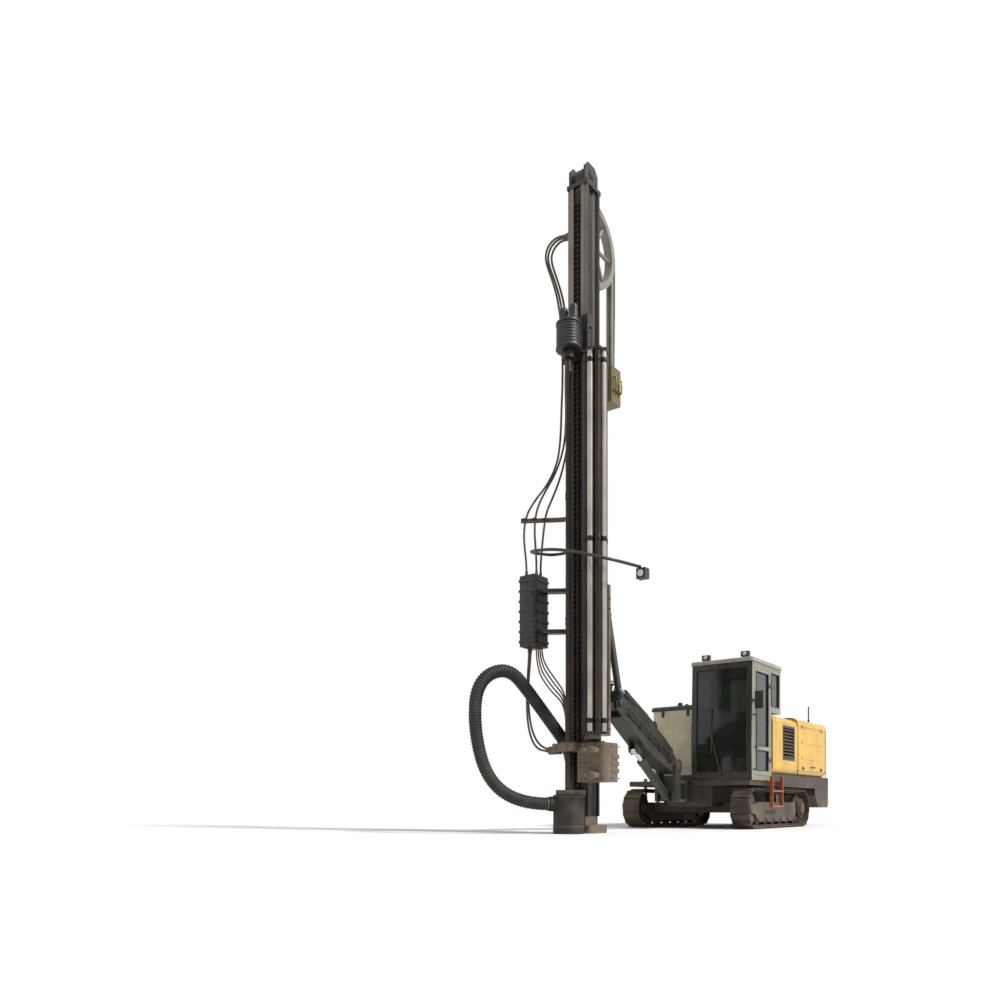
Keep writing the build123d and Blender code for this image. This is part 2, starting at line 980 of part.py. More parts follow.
write(cab_door, "cab_door")

with BuildPart() as door_glass:
    for low, high in ((door_bottom + 520, door_top - door_frame), (door_bottom + 90, door_bottom + 440)):
        block(
            along(door_rear + door_frame), along(door_front - door_frame),
            cab_left - pane_inset - pane_thickness, cab_left - pane_inset, low, high,
        )
write(door_glass, "door_glass")

# Seat and console inside the cab

cab_floor = deck_low_top + cab_wall
seat_y = (cab_left + cab_right) / 2

with BuildPart() as cab_interior:
    block(along(590), along(1010), seat_y - 150, seat_y + 150, cab_floor, cab_floor + 330)
    block(along(560), along(1080), seat_y - 260, seat_y + 260, cab_floor + 330, cab_floor + 470)
    back = [
        (along(560), cab_floor + 400),
        (along(700), cab_floor + 400),
        (along(610), cab_floor + 1150),
        (along(510), cab_floor + 1150),
    ]
    prism(side_plane(seat_y), back, 240, both=True)
    console = [
        (along(cab_front - cab_wall - 190), cab_floor),
        (along(cab_front - cab_wall - 20), cab_floor),
        (along(cab_front - cab_wall - 20), cab_floor + 150),
        (along(cab_front - cab_wall - 60), cab_floor + 640),
        (along(cab_front - cab_wall - 190), cab_floor + 560),
    ]
    prism(side_plane(seat_y), console, 150, both=True)
write(cab_interior, "cab_interior")

# Lamps on the roof and the mirror on its arm

with BuildPart() as cab_fittings:
    for y in (cab_right + 190, cab_left - 190):
        top = cab_top + roof_thickness
        block(along(1180), along(1210), y - 15, y + 15, top, top + 40)
        block(along(1160), along(1240), y - 70, y + 70, top + 40, top + 130)
    mirror_z = 2060
    block(
        along(cab_front - 85), along(cab_front - 35), cab_left, cab_left + 12,
        mirror_z + 120, mirror_z + 180,
    )
    bar(
        (along(cab_front - 60), cab_left + 6, mirror_z + 150),
        (along(cab_front - 20), cab_left + 150, mirror_z + 150), 12,
    )
    block(
        along(cab_front - 35), along(cab_front - 5), cab_left + 50, cab_left + 190,
        mirror_z, mirror_z + 300,
    )
write(cab_fittings, "cab_fittings")

# Boom base: turns on the upright pin in the nose and carries the foot of the boom

lift_x = along(lift_pivot_x)
swing_x = along(swing_pivot_x)
lift_rear_x = along(lift_rear_eye_x)
neck_front = swing_pivot_x + nose_half_width + 20

with BuildPart() as boom_base:
    hub_low = base_low + running_gap
    hub_high = base_high - running_gap
    upright(swing_x, boom_y, hub_low, hub_high, swing_pivot_radius)
    block(swing_x, along(neck_front + 60), boom_y - 80, boom_y + 80, hub_low, hub_high)
    block(
        along(neck_front), along(neck_front + 50), boom_y - cheek_inner - base_cheek,
        boom_y + cheek_inner + base_cheek, base_low - 40, base_high + 90,
    )
    cheek = [
        (along(neck_front), base_low - 40),
        (along(neck_front + 250), base_low - 40),
        (along(neck_front + 250), base_low + 120),
        (lift_x + boom_end_radius - 8, lift_pivot_z + 30),
        (lift_x - boom_end_radius + 8, lift_pivot_z + 30),
        (along(neck_front), base_high + 90),
    ]
    for y in (boom_y + cheek_inner + base_cheek, boom_y - cheek_inner):
        prism(side_plane(y), cheek, base_cheek)
        crosswise(lift_x, lift_pivot_z, y - base_cheek, y, boom_end_radius)
    crosswise(
        lift_x, lift_pivot_z, boom_y - cheek_inner - base_cheek - 15,
        boom_y + cheek_inner + base_cheek + 15, lift_pin_radius,
    )
    ear = [
        (along(neck_front + 40), base_low - 40),
        (lift_rear_x + 40, base_low - 40),
        (lift_rear_x + 60, lift_rear_eye_z),
        (lift_rear_x + 40, lift_rear_eye_z + 60),
        (lift_rear_x - 40, lift_rear_eye_z + 60),
        (along(neck_front + 40), lift_rear_eye_z + 100),
    ]
    for y in (boom_y + ear_inner + ear_thickness, boom_y - ear_inner):
        prism(side_plane(y), ear, ear_thickness)
    crosswise(
        lift_rear_x, lift_rear_eye_z, boom_y - ear_inner, boom_y + ear_inner, eye_pin_radius
    )
    upright(swing_x, boom_y, hub_low - 1, hub_high + 1, swing_pin_radius + pin_gap, Mode.SUBTRACT)
write(boom_base, "boom_base")

# Boom: a box arm from the lift pin to the tilt pin, with its cylinder lugs

boom_dir = (cos(radians(boom_angle)), 0, sin(radians(boom_angle)))
boom_plane = Plane(origin=(lift_x, boom_y, lift_pivot_z), x_dir=boom_dir, z_dir=(0, -1, 0))


def on_boom(u, w, y=0.0):
    """Point at a distance along the boom, above its line and to its left."""
    return boom_plane.from_local_coords(Vector(u, w, -y))


tilt_pin = on_boom(boom_length, 0)
boom_outline = [
    (250, 190),
    (700, 235),
    (1500, 215),
    (boom_length, 125),
    (boom_length, -125),
    (1500, -200),
    (950, -250),
    (250, -175),
]
knuckle_outline = [(0, 125), (260, 180), (260, -170), (0, -125)]

with BuildPart() as boom:
    prism(boom_plane, boom_outline, boom_width / 2, both=True)
    prism(boom_plane, knuckle_outline, cheek_inner - running_gap, both=True)
    with BuildSketch(boom_plane) as foot_end:
        Circle(boom_end_radius)
    extrude(foot_end.sketch, amount=cheek_inner - running_gap, both=True)
    with BuildSketch(boom_plane) as tip_end:
        with Locations((boom_length, 0)):
            Circle(boom_end_radius)
    extrude(tip_end.sketch, amount=boom_width / 2, both=True)
    with BuildSketch(boom_plane) as slot:
        with Locations((boom_length, 0)):
            Rectangle(2 * boom_slot_depth, 3 * boom_end_radius)
    extrude(slot.sketch, amount=boom_slot / 2, both=True, mode=Mode.SUBTRACT)
    with BuildSketch(boom_plane) as tip_pin:
        with Locations((boom_length, 0)):
            Circle(tilt_pin_radius)
    extrude(tip_pin.sketch, amount=boom_width / 2 + 12, both=True)
    lift_u, lift_w = lift_front_eye
    tilt_u, tilt_w = tilt_rear_eye
    lift_lug = [
        (lift_u - 190, -195),
        (lift_u + 170, -195),
        (lift_u + 55, lift_w - 50),
        (lift_u - 55, lift_w - 50),
    ]
    tilt_lug = [
        (tilt_u - 170, 200),
        (tilt_u + 100, 200),
        (tilt_u + 50, tilt_w + 50),
        (tilt_u - 50, tilt_w + 50),
    ]
    for lug in (lift_lug, tilt_lug):
        for y in (ear_inner, -ear_inner - ear_thickness):
            prism(boom_plane.offset(y), lug, ear_thickness)
    with BuildSketch(boom_plane) as tilt_eye_pin:
        with Locations((tilt_u, tilt_w)):
            Circle(eye_pin_radius)
    extrude(tilt_eye_pin.sketch, amount=ear_inner, both=True)
    with BuildSketch(boom_plane) as foot_bore:
        Circle(lift_pin_radius + pin_gap)
    extrude(foot_bore.sketch, amount=boom_width, both=True, mode=Mode.SUBTRACT)
write(boom, "boom")


def make_cylinder(name, rear_eye, front_eye, cross, half_eye, barrel_radius, rod_radius,
                  travel, eye_room):
    """Barrel with a bored rear eye, and rod with a solid front eye, between two points.

    travel is how far the rod goes in and out from rest, and eye_room what the rod keeps
    outside the barrel when it is all the way in.
    """
    rear, front = Vector(*rear_eye), Vector(*front_eye)
    run = (front - rear).normalized()
    barrel_length = (front - rear).length - travel[0] - eye_room
    rod_length = eye_room + travel[0] + travel[1] + rod_grip
    side = Vector(*cross)
    barrel_start = rear + run * (eye_radius + barrel_neck)
    gland = rear + run * barrel_length
    with BuildPart() as barrel:
        bar(rear - side * half_eye, rear + side * half_eye, eye_radius)
        bar(rear + run * eye_radius * 0.8, barrel_start + run, neck_radius)
        bar(barrel_start, gland, barrel_radius)
        bar(gland - run * gland_length, gland, barrel_radius + 8)
        bar(barrel_start + run * 40, gland + run, rod_radius + pin_gap * 4, Mode.SUBTRACT)
        bar(
            rear - side * (half_eye + 1), rear + side * (half_eye + 1),
            eye_pin_radius + pin_gap, Mode.SUBTRACT,
        )
    write(barrel, f"{name}_barrel")
    with BuildPart() as rod:
        bar(front - side * half_eye, front + side * half_eye, eye_radius * 0.8)
        bar(front - run * rod_length, front, rod_radius)
    write(rod, f"{name}_rod")


half_eye_width = ear_inner - eye_gap
make_cylinder(
    "lift", (lift_rear_x, boom_y, lift_rear_eye_z), on_boom(*lift_front_eye), (0, 1, 0),
    half_eye_width, lift_barrel_radius, lift_rod_radius, lift_travel, lift_eye_room,
)

# Boom head: knuckle on the tilt pin, hub and spindle for the feed's swing, and two lugs

tilt_lug_point = (tilt_pin.X + tilt_front_eye[0], tilt_pin.Z + tilt_front_eye[1])
swing_z = tilt_pin.Z
head_half = boom_slot / 2 - running_gap
swing_plane = Plane.YZ.offset(along(swing_cylinder_x))
swing_low = (boom_y + swing_low_eye[0], swing_low_eye[1])
swing_high = (boom_y + swing_high_eye[0], swing_high_eye[1])

with BuildPart() as boom_head:
    crosswise(tilt_pin.X, tilt_pin.Z, boom_y - head_half, boom_y + head_half, boom_end_radius - 10)
    block(
        tilt_pin.X, along(head_hub_x + 20), boom_y - head_half, boom_y + head_half,
        swing_z - 115, swing_z + 115,
    )
    bar(
        (along(head_hub_x), boom_y, swing_z), (along(head_hub_front), boom_y, swing_z),
        head_hub_radius,
    )
    bar(
        (along(head_hub_front), boom_y, swing_z),
        (along(holder_back + holder_plate), boom_y, swing_z), spindle_radius,
    )
    ear_foot = [
        (tilt_pin.X - 80, tilt_pin.Z + 40),
        (tilt_pin.X + 90, tilt_pin.Z + 40),
        (tilt_lug_point[0] + 48, tilt_lug_point[1] + 45),
        (tilt_lug_point[0] - 40, tilt_lug_point[1] + 45),
    ]
    for y in (boom_y + ear_inner + ear_thickness, boom_y - ear_inner):
        prism(side_plane(y), ear_foot, ear_thickness)
    swing_lug = [
        (boom_y + 60, swing_z - 70),
        (swing_low[0] + 20, swing_low[1] - 60),
        (swing_low[0] + 60, swing_low[1]),
        (swing_low[0] + 30, swing_low[1] + 55),
        (boom_y + 60, swing_z + 100),
    ]
    for x in (-swing_ear_inner - swing_ear_thickness, swing_ear_inner):
        prism(swing_plane.offset(x), swing_lug, swing_ear_thickness)
    bar(
        (along(swing_cylinder_x - swing_ear_inner), *swing_low),
        (along(swing_cylinder_x + swing_ear_inner), *swing_low), eye_pin_radius,
    )
    crosswise(
        tilt_pin.X, tilt_pin.Z, boom_y - boom_width, boom_y + boom_width,
        tilt_pin_radius + pin_gap, Mode.SUBTRACT,
    )
write(boom_head, "boom_head")

make_cylinder(
    "tilt", on_boom(*tilt_rear_eye), (tilt_lug_point[0], boom_y, tilt_lug_point[1]), (0, 1, 0),
    half_eye_width, tilt_barrel_radius, tilt_rod_radius, tilt_travel, tilt_eye_room,
)
make_cylinder(
    "swing", (along(swing_cylinder_x), *swing_low), (along(swing_cylinder_x), *swing_high),
    (1, 0, 0), swing_ear_inner - eye_gap, swing_barrel_radius, swing_rod_radius, swing_travel,
    swing_eye_room,
)

# Feed beam: extruded section with a pair of rails at the back for the holder and at the
# front for the rotation head

beam_back = beam_x - beam_depth / 2
beam_front = beam_x + beam_depth / 2
half_beam = beam_width / 2
rear_rail = (beam_back + rail_rear_inset, beam_back + rail_rear_inset + rail_depth)
front_rail = (beam_front - rail_depth - 20, beam_front - 20)
rail_y = half_beam + rail_reach
half_section = [
    (beam_back, 0),
    (beam_back, half_beam - 20),
    (beam_back + rail_rear_inset, half_beam),
    (rear_rail[0], rail_y),
    (rear_rail[1], rail_y),
    (rear_rail[1], half_beam),
    (rear_rail[1] + 60, half_beam),
    (rear_rail[1] + 80, half_beam - groove_depth),
    (front_rail[0] - 80, half_beam - groove_depth),
    (front_rail[0] - 60, half_beam),
    (front_rail[0], half_beam),
    (front_rail[0], rail_y),
    (front_rail[1], rail_y),
    (front_rail[1], half_beam),
    (beam_front, half_beam - 20),
    (beam_front, 60),
    (beam_front - 45, 60),
    (beam_front - 45, 0),
]

with BuildPart() as feed_beam:
    with BuildSketch(Plane(origin=(track_centre_x, boom_y, beam_bottom))) as section:
        with BuildLine():
            Polyline(*half_section, close=True)
        make_face()
        mirror_line = Plane.XZ
        mirror(about=mirror_line)
    extrude(section.sketch, amount=beam_top - beam_bottom)
write(feed_beam, "feed_beam")

with BuildPart() as feed_chain:
    block(
        along(beam_front - 44.7), along(beam_front - 10), boom_y - 40, boom_y + 40,
        beam_bottom + 60, beam_top - 60,
    )
write(feed_chain, "feed_chain")

with BuildPart() as feed_crown:
    block(
        along(beam_back - 10), along(beam_front + 10), boom_y - half_beam - 30,
        boom_y + half_beam + 30, beam_top, beam_top + 60,
    )
    crown_cheek = [
        (along(beam_back + 30), beam_top + 50),
        (along(beam_front), beam_top + 50),
        (along(beam_front), crown_top - 90),
        (along(beam_front - 80), crown_top),
        (along(beam_back + 110), crown_top),
        (along(beam_back + 30), crown_top - 90),
    ]
    for y in (boom_y + half_beam, boom_y - half_beam + 30):
        prism(side_plane(y), crown_cheek, 30)
    crosswise(
        along(beam_x + 20), crown_top - 160, boom_y - half_beam, boom_y + half_beam, 45
    )
    crosswise(along(beam_x + 20), crown_top - 160, boom_y - 70, boom_y + 70, 130)
write(feed_crown, "feed_crown")

# Feed holder: swings on the spindle and guides the beam's rear rails between its claws

claw_inner = rail_y + slide_gap
claw_outer = claw_inner + 45
claw_lip = 40

with BuildPart() as feed_holder:
    block(
        along(holder_back), along(holder_back + holder_plate), boom_y - holder_half_width,
        boom_y + holder_half_width, holder_bottom, holder_top,
    )
    for low in (claw_low, claw_high):
        for hand in (-1, 1):
            y0, y1 = sorted((boom_y + hand * claw_inner, boom_y + hand * claw_outer))
            lip0, lip1 = sorted((boom_y + hand * (half_beam + running_gap), boom_y + hand * claw_outer))
            front = rear_rail[1] + slide_gap + claw_lip
            block(
                along(holder_back + holder_plate), along(front), y0, y1, low, low + claw_height
            )
            block(
                along(rear_rail[1] + slide_gap), along(front), lip0, lip1, low,
                low + claw_height,
            )
    bridge_low = swing_high[1] + eye_radius + 30
    for x in (-swing_ear_inner - swing_ear_thickness, swing_ear_inner):
        ear_x = along(swing_cylinder_x + x)
        block(
            ear_x, ear_x + swing_ear_thickness, swing_high[0] - 60, swing_high[0] + 60,
            swing_high[1] - 55, bridge_low + 50,
        )
    block(
        along(swing_cylinder_x - swing_ear_inner - swing_ear_thickness),
        along(holder_back + holder_plate), swing_high[0] - 60, swing_high[0] + 60, bridge_low,
        holder_top,
    )
    bar(
        (along(holder_back - 1), boom_y, swing_z),
        (along(holder_back + holder_plate + 1), boom_y, swing_z),
        spindle_radius + pin_gap, Mode.SUBTRACT,
    )
write(feed_holder, "feed_holder")

# Feed extension: barrel on the holder, rod down to the foot of the feed

rod_foot_z = foot_height + 70

with BuildPart() as extension_barrel:
    upright(along(extension_x), boom_y, extension_low, extension_high, extension_barrel_radius)
    block(
        along(holder_back + holder_plate), along(extension_x), boom_y - 40, boom_y + 40,
        extension_high - 90, extension_high,
    )
    block(
        along(holder_back + holder_plate), along(extension_x), boom_y - 40, boom_y + 40,
        extension_low + 60, extension_low + 130,
    )
    upright(
        along(extension_x), boom_y, extension_low - 1, extension_high - 60,
        extension_rod_radius + 4 * pin_gap, Mode.SUBTRACT,
    )
write(extension_barrel, "extension_barrel")

with BuildPart() as extension_rod:
    upright(
        along(extension_x), boom_y, rod_foot_z, extension_high - 100 - extension_stroke,
        extension_rod_radius,
    )
write(extension_rod, "extension_rod")

with BuildPart() as feed_foot:
    block(
        along(beam_back - 130), along(beam_front), boom_y - 230, boom_y + 230, 0, foot_height
    )
    fillet(feed_foot.edges().filter_by(Axis.Z), 60)
    block(
        along(beam_back + 10), along(beam_front - 10), boom_y - half_beam + 10,
        boom_y + half_beam - 10, foot_height, beam_bottom,
    )
    block(
        along(extension_x - 45), along(extension_x + 45), boom_y - 45, boom_y + 45,
        foot_height, rod_foot_z,
    )
write(feed_foot, "feed_foot")

# Breakout table and lower guide in front of the beam, bored for the drill string, and the gripper
# that hands the rods over, on the beam's left side

with BuildPart() as table:
    block(
        along(beam_front), along(drill_axis_x + 190), boom_y - 190, boom_y + 190,
        table_bottom, table_bottom + table_height,
    )
    fillet(table.edges().filter_by(Axis.Z).group_by(Axis.X)[-1], 70)
    for hand in (-1, 1):
        y0 = boom_y + hand * 150
        jaw_x = along(drill_axis_x - 20)
        jaw_z = table_bottom + 30
        bar((jaw_x, y0, jaw_z), (jaw_x, y0 + hand * 190, jaw_z), 60)
    gusset = [
        (along(beam_front), table_bottom - 240),
        (along(beam_front + 30), table_bottom - 240),
        (along(drill_axis_x - 90), table_bottom),
        (along(beam_front), table_bottom),
    ]
    for y in (boom_y + 160, boom_y - 130):
        prism(side_plane(y), gusset, 30)
    upright(
        along(drill_axis_x), boom_y, table_bottom - 10, table_bottom + table_height + 10,
        guide_bore, Mode.SUBTRACT,
    )

with BuildPart() as lower_guide:
    block(
        along(beam_front), along(drill_axis_x + 150), boom_y - 150, boom_y + 150,
        guide_bottom, guide_bottom + guide_height,
    )
    fillet(lower_guide.edges().filter_by(Axis.Z).group_by(Axis.X)[-1], 60)
    upright(
        along(drill_axis_x), boom_y, guide_bottom - 10, guide_bottom + guide_height + 10,
        guide_bore, Mode.SUBTRACT,
    )

with BuildPart() as gripper:
    block(
        along(beam_x + groove_seat), along(drill_axis_x + 30), boom_y + half_beam + rail_reach,
        boom_y + gripper_reach, gripper_bottom, gripper_top,
    )
    fillet(gripper.edges().filter_by(Axis.Z).group_by(Axis.Y)[-1], 110)
    for z in (gripper_bottom + 90, gripper_top - 110):
        bar((along(drill_axis_x), boom_y + 430, z), (along(drill_axis_x + 170), boom_y + 430, z), 55)

with BuildPart() as drill_guides:
    add(table.part)
    add(lower_guide.part)
    add(gripper.part)
write(drill_guides, "drill_guides")

# Suction hood around the hole, and its hose

hood_port_z = 430
hose_radius = 98
hose_wall = 10
hose_dir = Vector(cos(radians(-45)), sin(radians(-45)), 0)

with BuildPart() as suction_hood:
    upright(along(drill_axis_x), boom_y, suction_bottom, guide_bottom, suction_radius)
    upright(
        along(drill_axis_x), boom_y, suction_bottom, guide_bottom - 20,
        suction_radius - suction_wall, Mode.SUBTRACT,
    )
    upright(along(drill_axis_x), boom_y, suction_bottom, guide_bottom, guide_bore, Mode.SUBTRACT)
    port_start = Vector(along(drill_axis_x), boom_y, hood_port_z)
    port_end = port_start + hose_dir * (suction_radius + 60)
    bar(port_start + hose_dir * (suction_radius - 30), port_end, hose_radius + 10)
    bar(
        port_start + hose_dir * (suction_radius - 60), port_end, hose_radius - hose_wall,
        Mode.SUBTRACT,
    )
    upright(
        along(drill_axis_x), boom_y, suction_bottom, guide_bottom - 20,
        suction_radius - suction_wall, Mode.SUBTRACT,
    )
write(suction_hood, "suction_hood")


def bend_radii(points):
    """Largest comfortable arc at each corner of a hose's route."""
    radii = []
    for before, corner, after in zip(points, points[1:], points[2:]):
        first = Vector(*corner) - Vector(*before)
        second = Vector(*after) - Vector(*corner)
        turn = first.get_angle(second)
        radii.append(0.45 * min(first.length, second.length) / tan(radians(turn) / 2))
    return radii


def hose(points, radius):
    """Round tube along straight runs joined by tangent arcs."""
    radii = bend_radii(points)
    print("hose radii", [round(r) for r in radii])
    with BuildLine() as route:
        FilletPolyline(*points, radius=radii)
    start = Plane(origin=points[0], z_dir=Vector(*points[1]) - Vector(*points[0]))
    with BuildSketch(start) as section:
        Circle(radius)
    sweep(section.sketch, path=route.line)


suction_end_z = 1370
flange_x = along(beam_x + 60)
flange_y = boom_y - half_beam - 170
loop_points = [
    (suction_radius + 60, 430),
    (700, 430),
    (1180, 760),
    (1370, 1480),
    (1330, 2180),
]
hose_route = [
    (
        along(drill_axis_x) + hose_dir.X * reach,
        boom_y + hose_dir.Y * reach,
        height,
    )
    for reach, height in loop_points
]
hose_route += [
    (along(drill_axis_x + 500), boom_y - 720, 2420),
    (along(drill_axis_x + 80), boom_y - 600, 2040),
    (flange_x, flange_y, suction_end_z),
]

with BuildPart() as suction_hose:
    hose(hose_route, hose_radius)
write(suction_hose, "suction_hose")

hose_end_dir = (Vector(*hose_route[-1]) - Vector(*hose_route[-2])).normalized()

with BuildPart() as suction_flange:
    flange_face = Vector(*hose_route[-1])
    bar(flange_face, flange_face + hose_end_dir * 60, hose_radius + 12)
    block(
        along(beam_x - groove_seat), along(beam_x + groove_seat), boom_y - half_beam - 160,
        boom_y - half_beam + groove_depth, suction_end_z - 130, suction_end_z - 40,
    )
write(suction_flange, "suction_flange")

# Rotation head on the front rails

sled_back = beam_front + slide_gap
head_claw_inner = rail_y + slide_gap

with BuildPart() as rotation_head:
    sled_low = head_bottom - 60
    block(
        along(sled_back), along(sled_back + sled_plate), boom_y - sled_half_width,
        boom_y + sled_half_width, sled_low, sled_low + sled_height,
    )
    for hand in (-1, 1):
        y0, y1 = sorted((boom_y + hand * head_claw_inner, boom_y + hand * sled_half_width))
        lip0, lip1 = sorted(
            (boom_y + hand * (half_beam + running_gap), boom_y + hand * sled_half_width)
        )
        back = front_rail[0] - slide_gap - 30
        for low in (sled_low, sled_low + sled_height - 160):
            block(along(back), along(sled_back + 10), y0, y1, low, low + 160)
            block(along(back), along(back + 30), lip0, lip1, low, low + 160)
    upright(along(drill_axis_x), boom_y, head_bottom, head_bottom + head_height, gearbox_radius)
    block(
        along(sled_back + 10), along(drill_axis_x), boom_y - 0.75 * gearbox_radius,
        boom_y + 0.75 * gearbox_radius, head_bottom + 20, head_bottom + head_height - 20,
    )
    for hand in (-1, 1):
        upright(
            along(drill_axis_x), boom_y + hand * 85, head_bottom + head_height,
            head_bottom + head_height + motor_height, motor_radius,
        )
    upright(
        along(drill_axis_x), boom_y, head_bottom - 1, head_bottom + shank_length,
        shank_radius + pin_gap, Mode.SUBTRACT,
    )
write(rotation_head, "rotation_head")

with BuildPart() as drill_string:
    upright(along(drill_axis_x), boom_y, string_bottom, hammer_top, hammer_radius)
    upright(along(drill_axis_x), boom_y, hammer_top, head_bottom - chuck_height, string_radius)
    upright(
        along(drill_axis_x), boom_y, head_bottom - chuck_height, head_bottom - running_gap,
        chuck_radius,
    )
    upright(
        along(drill_axis_x), boom_y, head_bottom - running_gap,
        head_bottom + shank_length - running_gap, shank_radius,
    )
write(drill_string, "drill_string")

# Rod carousel beside the beam

carousel_y = boom_y + carousel_offset_y

with BuildPart() as rod_carousel:
    upright(
        along(carousel_x), carousel_y, carousel_bottom - bracket_height,
        carousel_top + bracket_height, carousel_shaft,
    )
    for low in (carousel_bottom, carousel_top - carousel_plate):
        with BuildSketch(
            Plane(origin=(along(carousel_x), carousel_y, low))
        ) as plate:
            Circle(carousel_plate_radius)
            with PolarLocations(carousel_plate_radius + 12, carousel_rods, start_angle=22.5):
                Circle(36, mode=Mode.SUBTRACT)
        extrude(plate.sketch, amount=carousel_plate)
    with BuildSketch(
        Plane(origin=(along(carousel_x), carousel_y, carousel_bottom + carousel_plate - 2))
    ) as rods:
        with PolarLocations(carousel_ring, carousel_rods):
            Circle(carousel_rod_radius)
    extrude(rods.sketch, amount=carousel_top - carousel_bottom - 2 * carousel_plate + 4)
write(rod_carousel, "rod_carousel")

with BuildPart() as carousel_brackets:
    bracket = [
        (beam_x - groove_seat, half_beam - groove_depth),
        (beam_x + groove_seat, half_beam - groove_depth),
        (beam_x + groove_seat, 225),
        (carousel_x, carousel_offset_y - 180),
        (carousel_x + 90, carousel_offset_y),
        (carousel_x, carousel_offset_y + 90),
        (carousel_x - 100, carousel_offset_y + 40),
        (beam_x - groove_seat, 260),
    ]
    for low in (carousel_bottom - seat_gap - bracket_height, carousel_top + seat_gap):
        prism(Plane(origin=(track_centre_x, boom_y, low)), bracket, bracket_height)
    upright(
        along(carousel_x), carousel_y, carousel_bottom - 200, carousel_top + 200,
        carousel_shaft + pin_gap, Mode.SUBTRACT,
    )
write(carousel_brackets, "carousel_brackets")

# Hose rack arm, valve box, hose guide with its pipes and junction block, and lamp hoop on the feed

beam_right = boom_y - half_beam + groove_depth

with BuildPart() as hose_rack:
    rack_route = [
        (along(beam_x), beam_right, rack_z),
        (along(beam_x), boom_y - 340, rack_z),
        (along(rack_tip[0]), rack_tip[1], rack_z),
    ]
    hose(rack_route, rack_radius)
    clamp_face = boom_y + hose_clamp_y
    block(
        along(beam_x - groove_seat), along(beam_x + groove_seat), clamp_face + 20, beam_right,
        hose_clamp_z - 70, hose_clamp_z + 70,
    )
    block(
        along(beam_x - 85), along(beam_x + 80), clamp_face, clamp_face + 50,
        hose_clamp_z - 60, hose_clamp_z + 60,
    )
write(hose_rack, "hose_rack")

with BuildPart() as valve_box:
    box_x = along(valve_box_x)
    depth, width, height = valve_box_size
    top = valve_box_bottom + height
    block(
        box_x - depth / 2, box_x + depth / 2, valve_box_y - width / 2, valve_box_y + width / 2,
        valve_box_bottom, top,
    )
    rib_count = 7
    for i in range(rib_count):
        z = valve_box_bottom + (i + 0.5) * height / rib_count
        block(
            box_x - depth / 2 - 12, box_x + depth / 2 + 12, valve_box_y - width / 2 - 12,
            valve_box_y + width / 2 + 12, z - 18, z + 18,
        )
    for z in (valve_box_bottom + 200, top - 250):
        arm = [
            (beam_x - groove_seat, -half_beam + groove_depth),
            (beam_x + groove_seat, -half_beam + groove_depth),
            (beam_x + groove_seat, -half_beam - 120),
            (valve_box_x, valve_box_y - boom_y + width / 2),
            (valve_box_x - 150, valve_box_y - boom_y + width / 2),
            (beam_x - groove_seat, -half_beam - 200),
        ]
        prism(Plane(origin=(track_centre_x, boom_y, z)), arm, 60)
write(valve_box, "valve_box")

with BuildPart() as hose_guide:
    guide_plane = Plane(
        origin=(along(beam_back), boom_y, guide_wheel_z), x_dir=(1, 0, 0), z_dir=(0, -1, 0)
    )
    with BuildSketch(guide_plane) as guide_disc:
        with BuildLine():
            CenterArc((0, 0), guide_wheel_radius, 90, 180)
            Line((0, -guide_wheel_radius), (0, guide_wheel_radius))
        make_face()
        with BuildLine():
            rim_arc = CenterArc((0, 0), guide_wheel_radius - guide_rim, 100, 160)
            Line(rim_arc @ 0, rim_arc @ 1)
        make_face(mode=Mode.SUBTRACT)
    extrude(guide_disc.sketch, amount=guide_wheel_width / 2, both=True)
    for angle in (130, 180, 230):
        tip_x = along(beam_back) + (guide_wheel_radius - 60) * cos(radians(angle))
        tip_z = guide_wheel_z + (guide_wheel_radius - 60) * sin(radians(angle))
        bar((along(beam_back - 90), boom_y, guide_wheel_z), (tip_x, boom_y, tip_z), 28)
    pipe_x = along(beam_back) - guide_wheel_radius + guide_rim / 2
    for hand in (-1, 1):
        upright(pipe_x, boom_y + hand * 33, junction_top - 20, guide_wheel_z, guide_pipe_radius)
    block(
        pipe_x - junction_depth / 2, pipe_x + junction_depth / 2, boom_y - junction_half_width,
        boom_y + junction_half_width, junction_bottom, junction_top,
    )
    block(
        pipe_x, along(beam_back), boom_y - 30, boom_y + 30, junction_bottom + 250,
        junction_bottom + 310,
    )
write(hose_guide, "hose_guide")

with BuildPart() as lamp_hoop:
    hoop_route = [
        (along(beam_x + 20), beam_right, 4190),
        (along(beam_x + 20), boom_y - 520, 4190),
        (along(beam_x + 760), boom_y - 560, 4080),
        (along(beam_x + 960), boom_y + 200, 3940),
        (along(beam_x + 640), boom_y + 820, lamp_z),
        (along(beam_x + 60), boom_y + 960, lamp_z),
    ]
    hose(hoop_route, hoop_radius)
    block(
        along(beam_x - 60), along(beam_x + 70), boom_y + 900, boom_y + 1040, lamp_z - 160,
        lamp_z - 15,
    )
write(lamp_hoop, "lamp_hoop")

# Hydraulic hoses on the feed: three from the clamp at the top down to the valve box, fanned out
# over the rack arm, and two from the box to the breakout table. Points count from the middle of
# the beam: ahead, to the left, and the height above the ground.

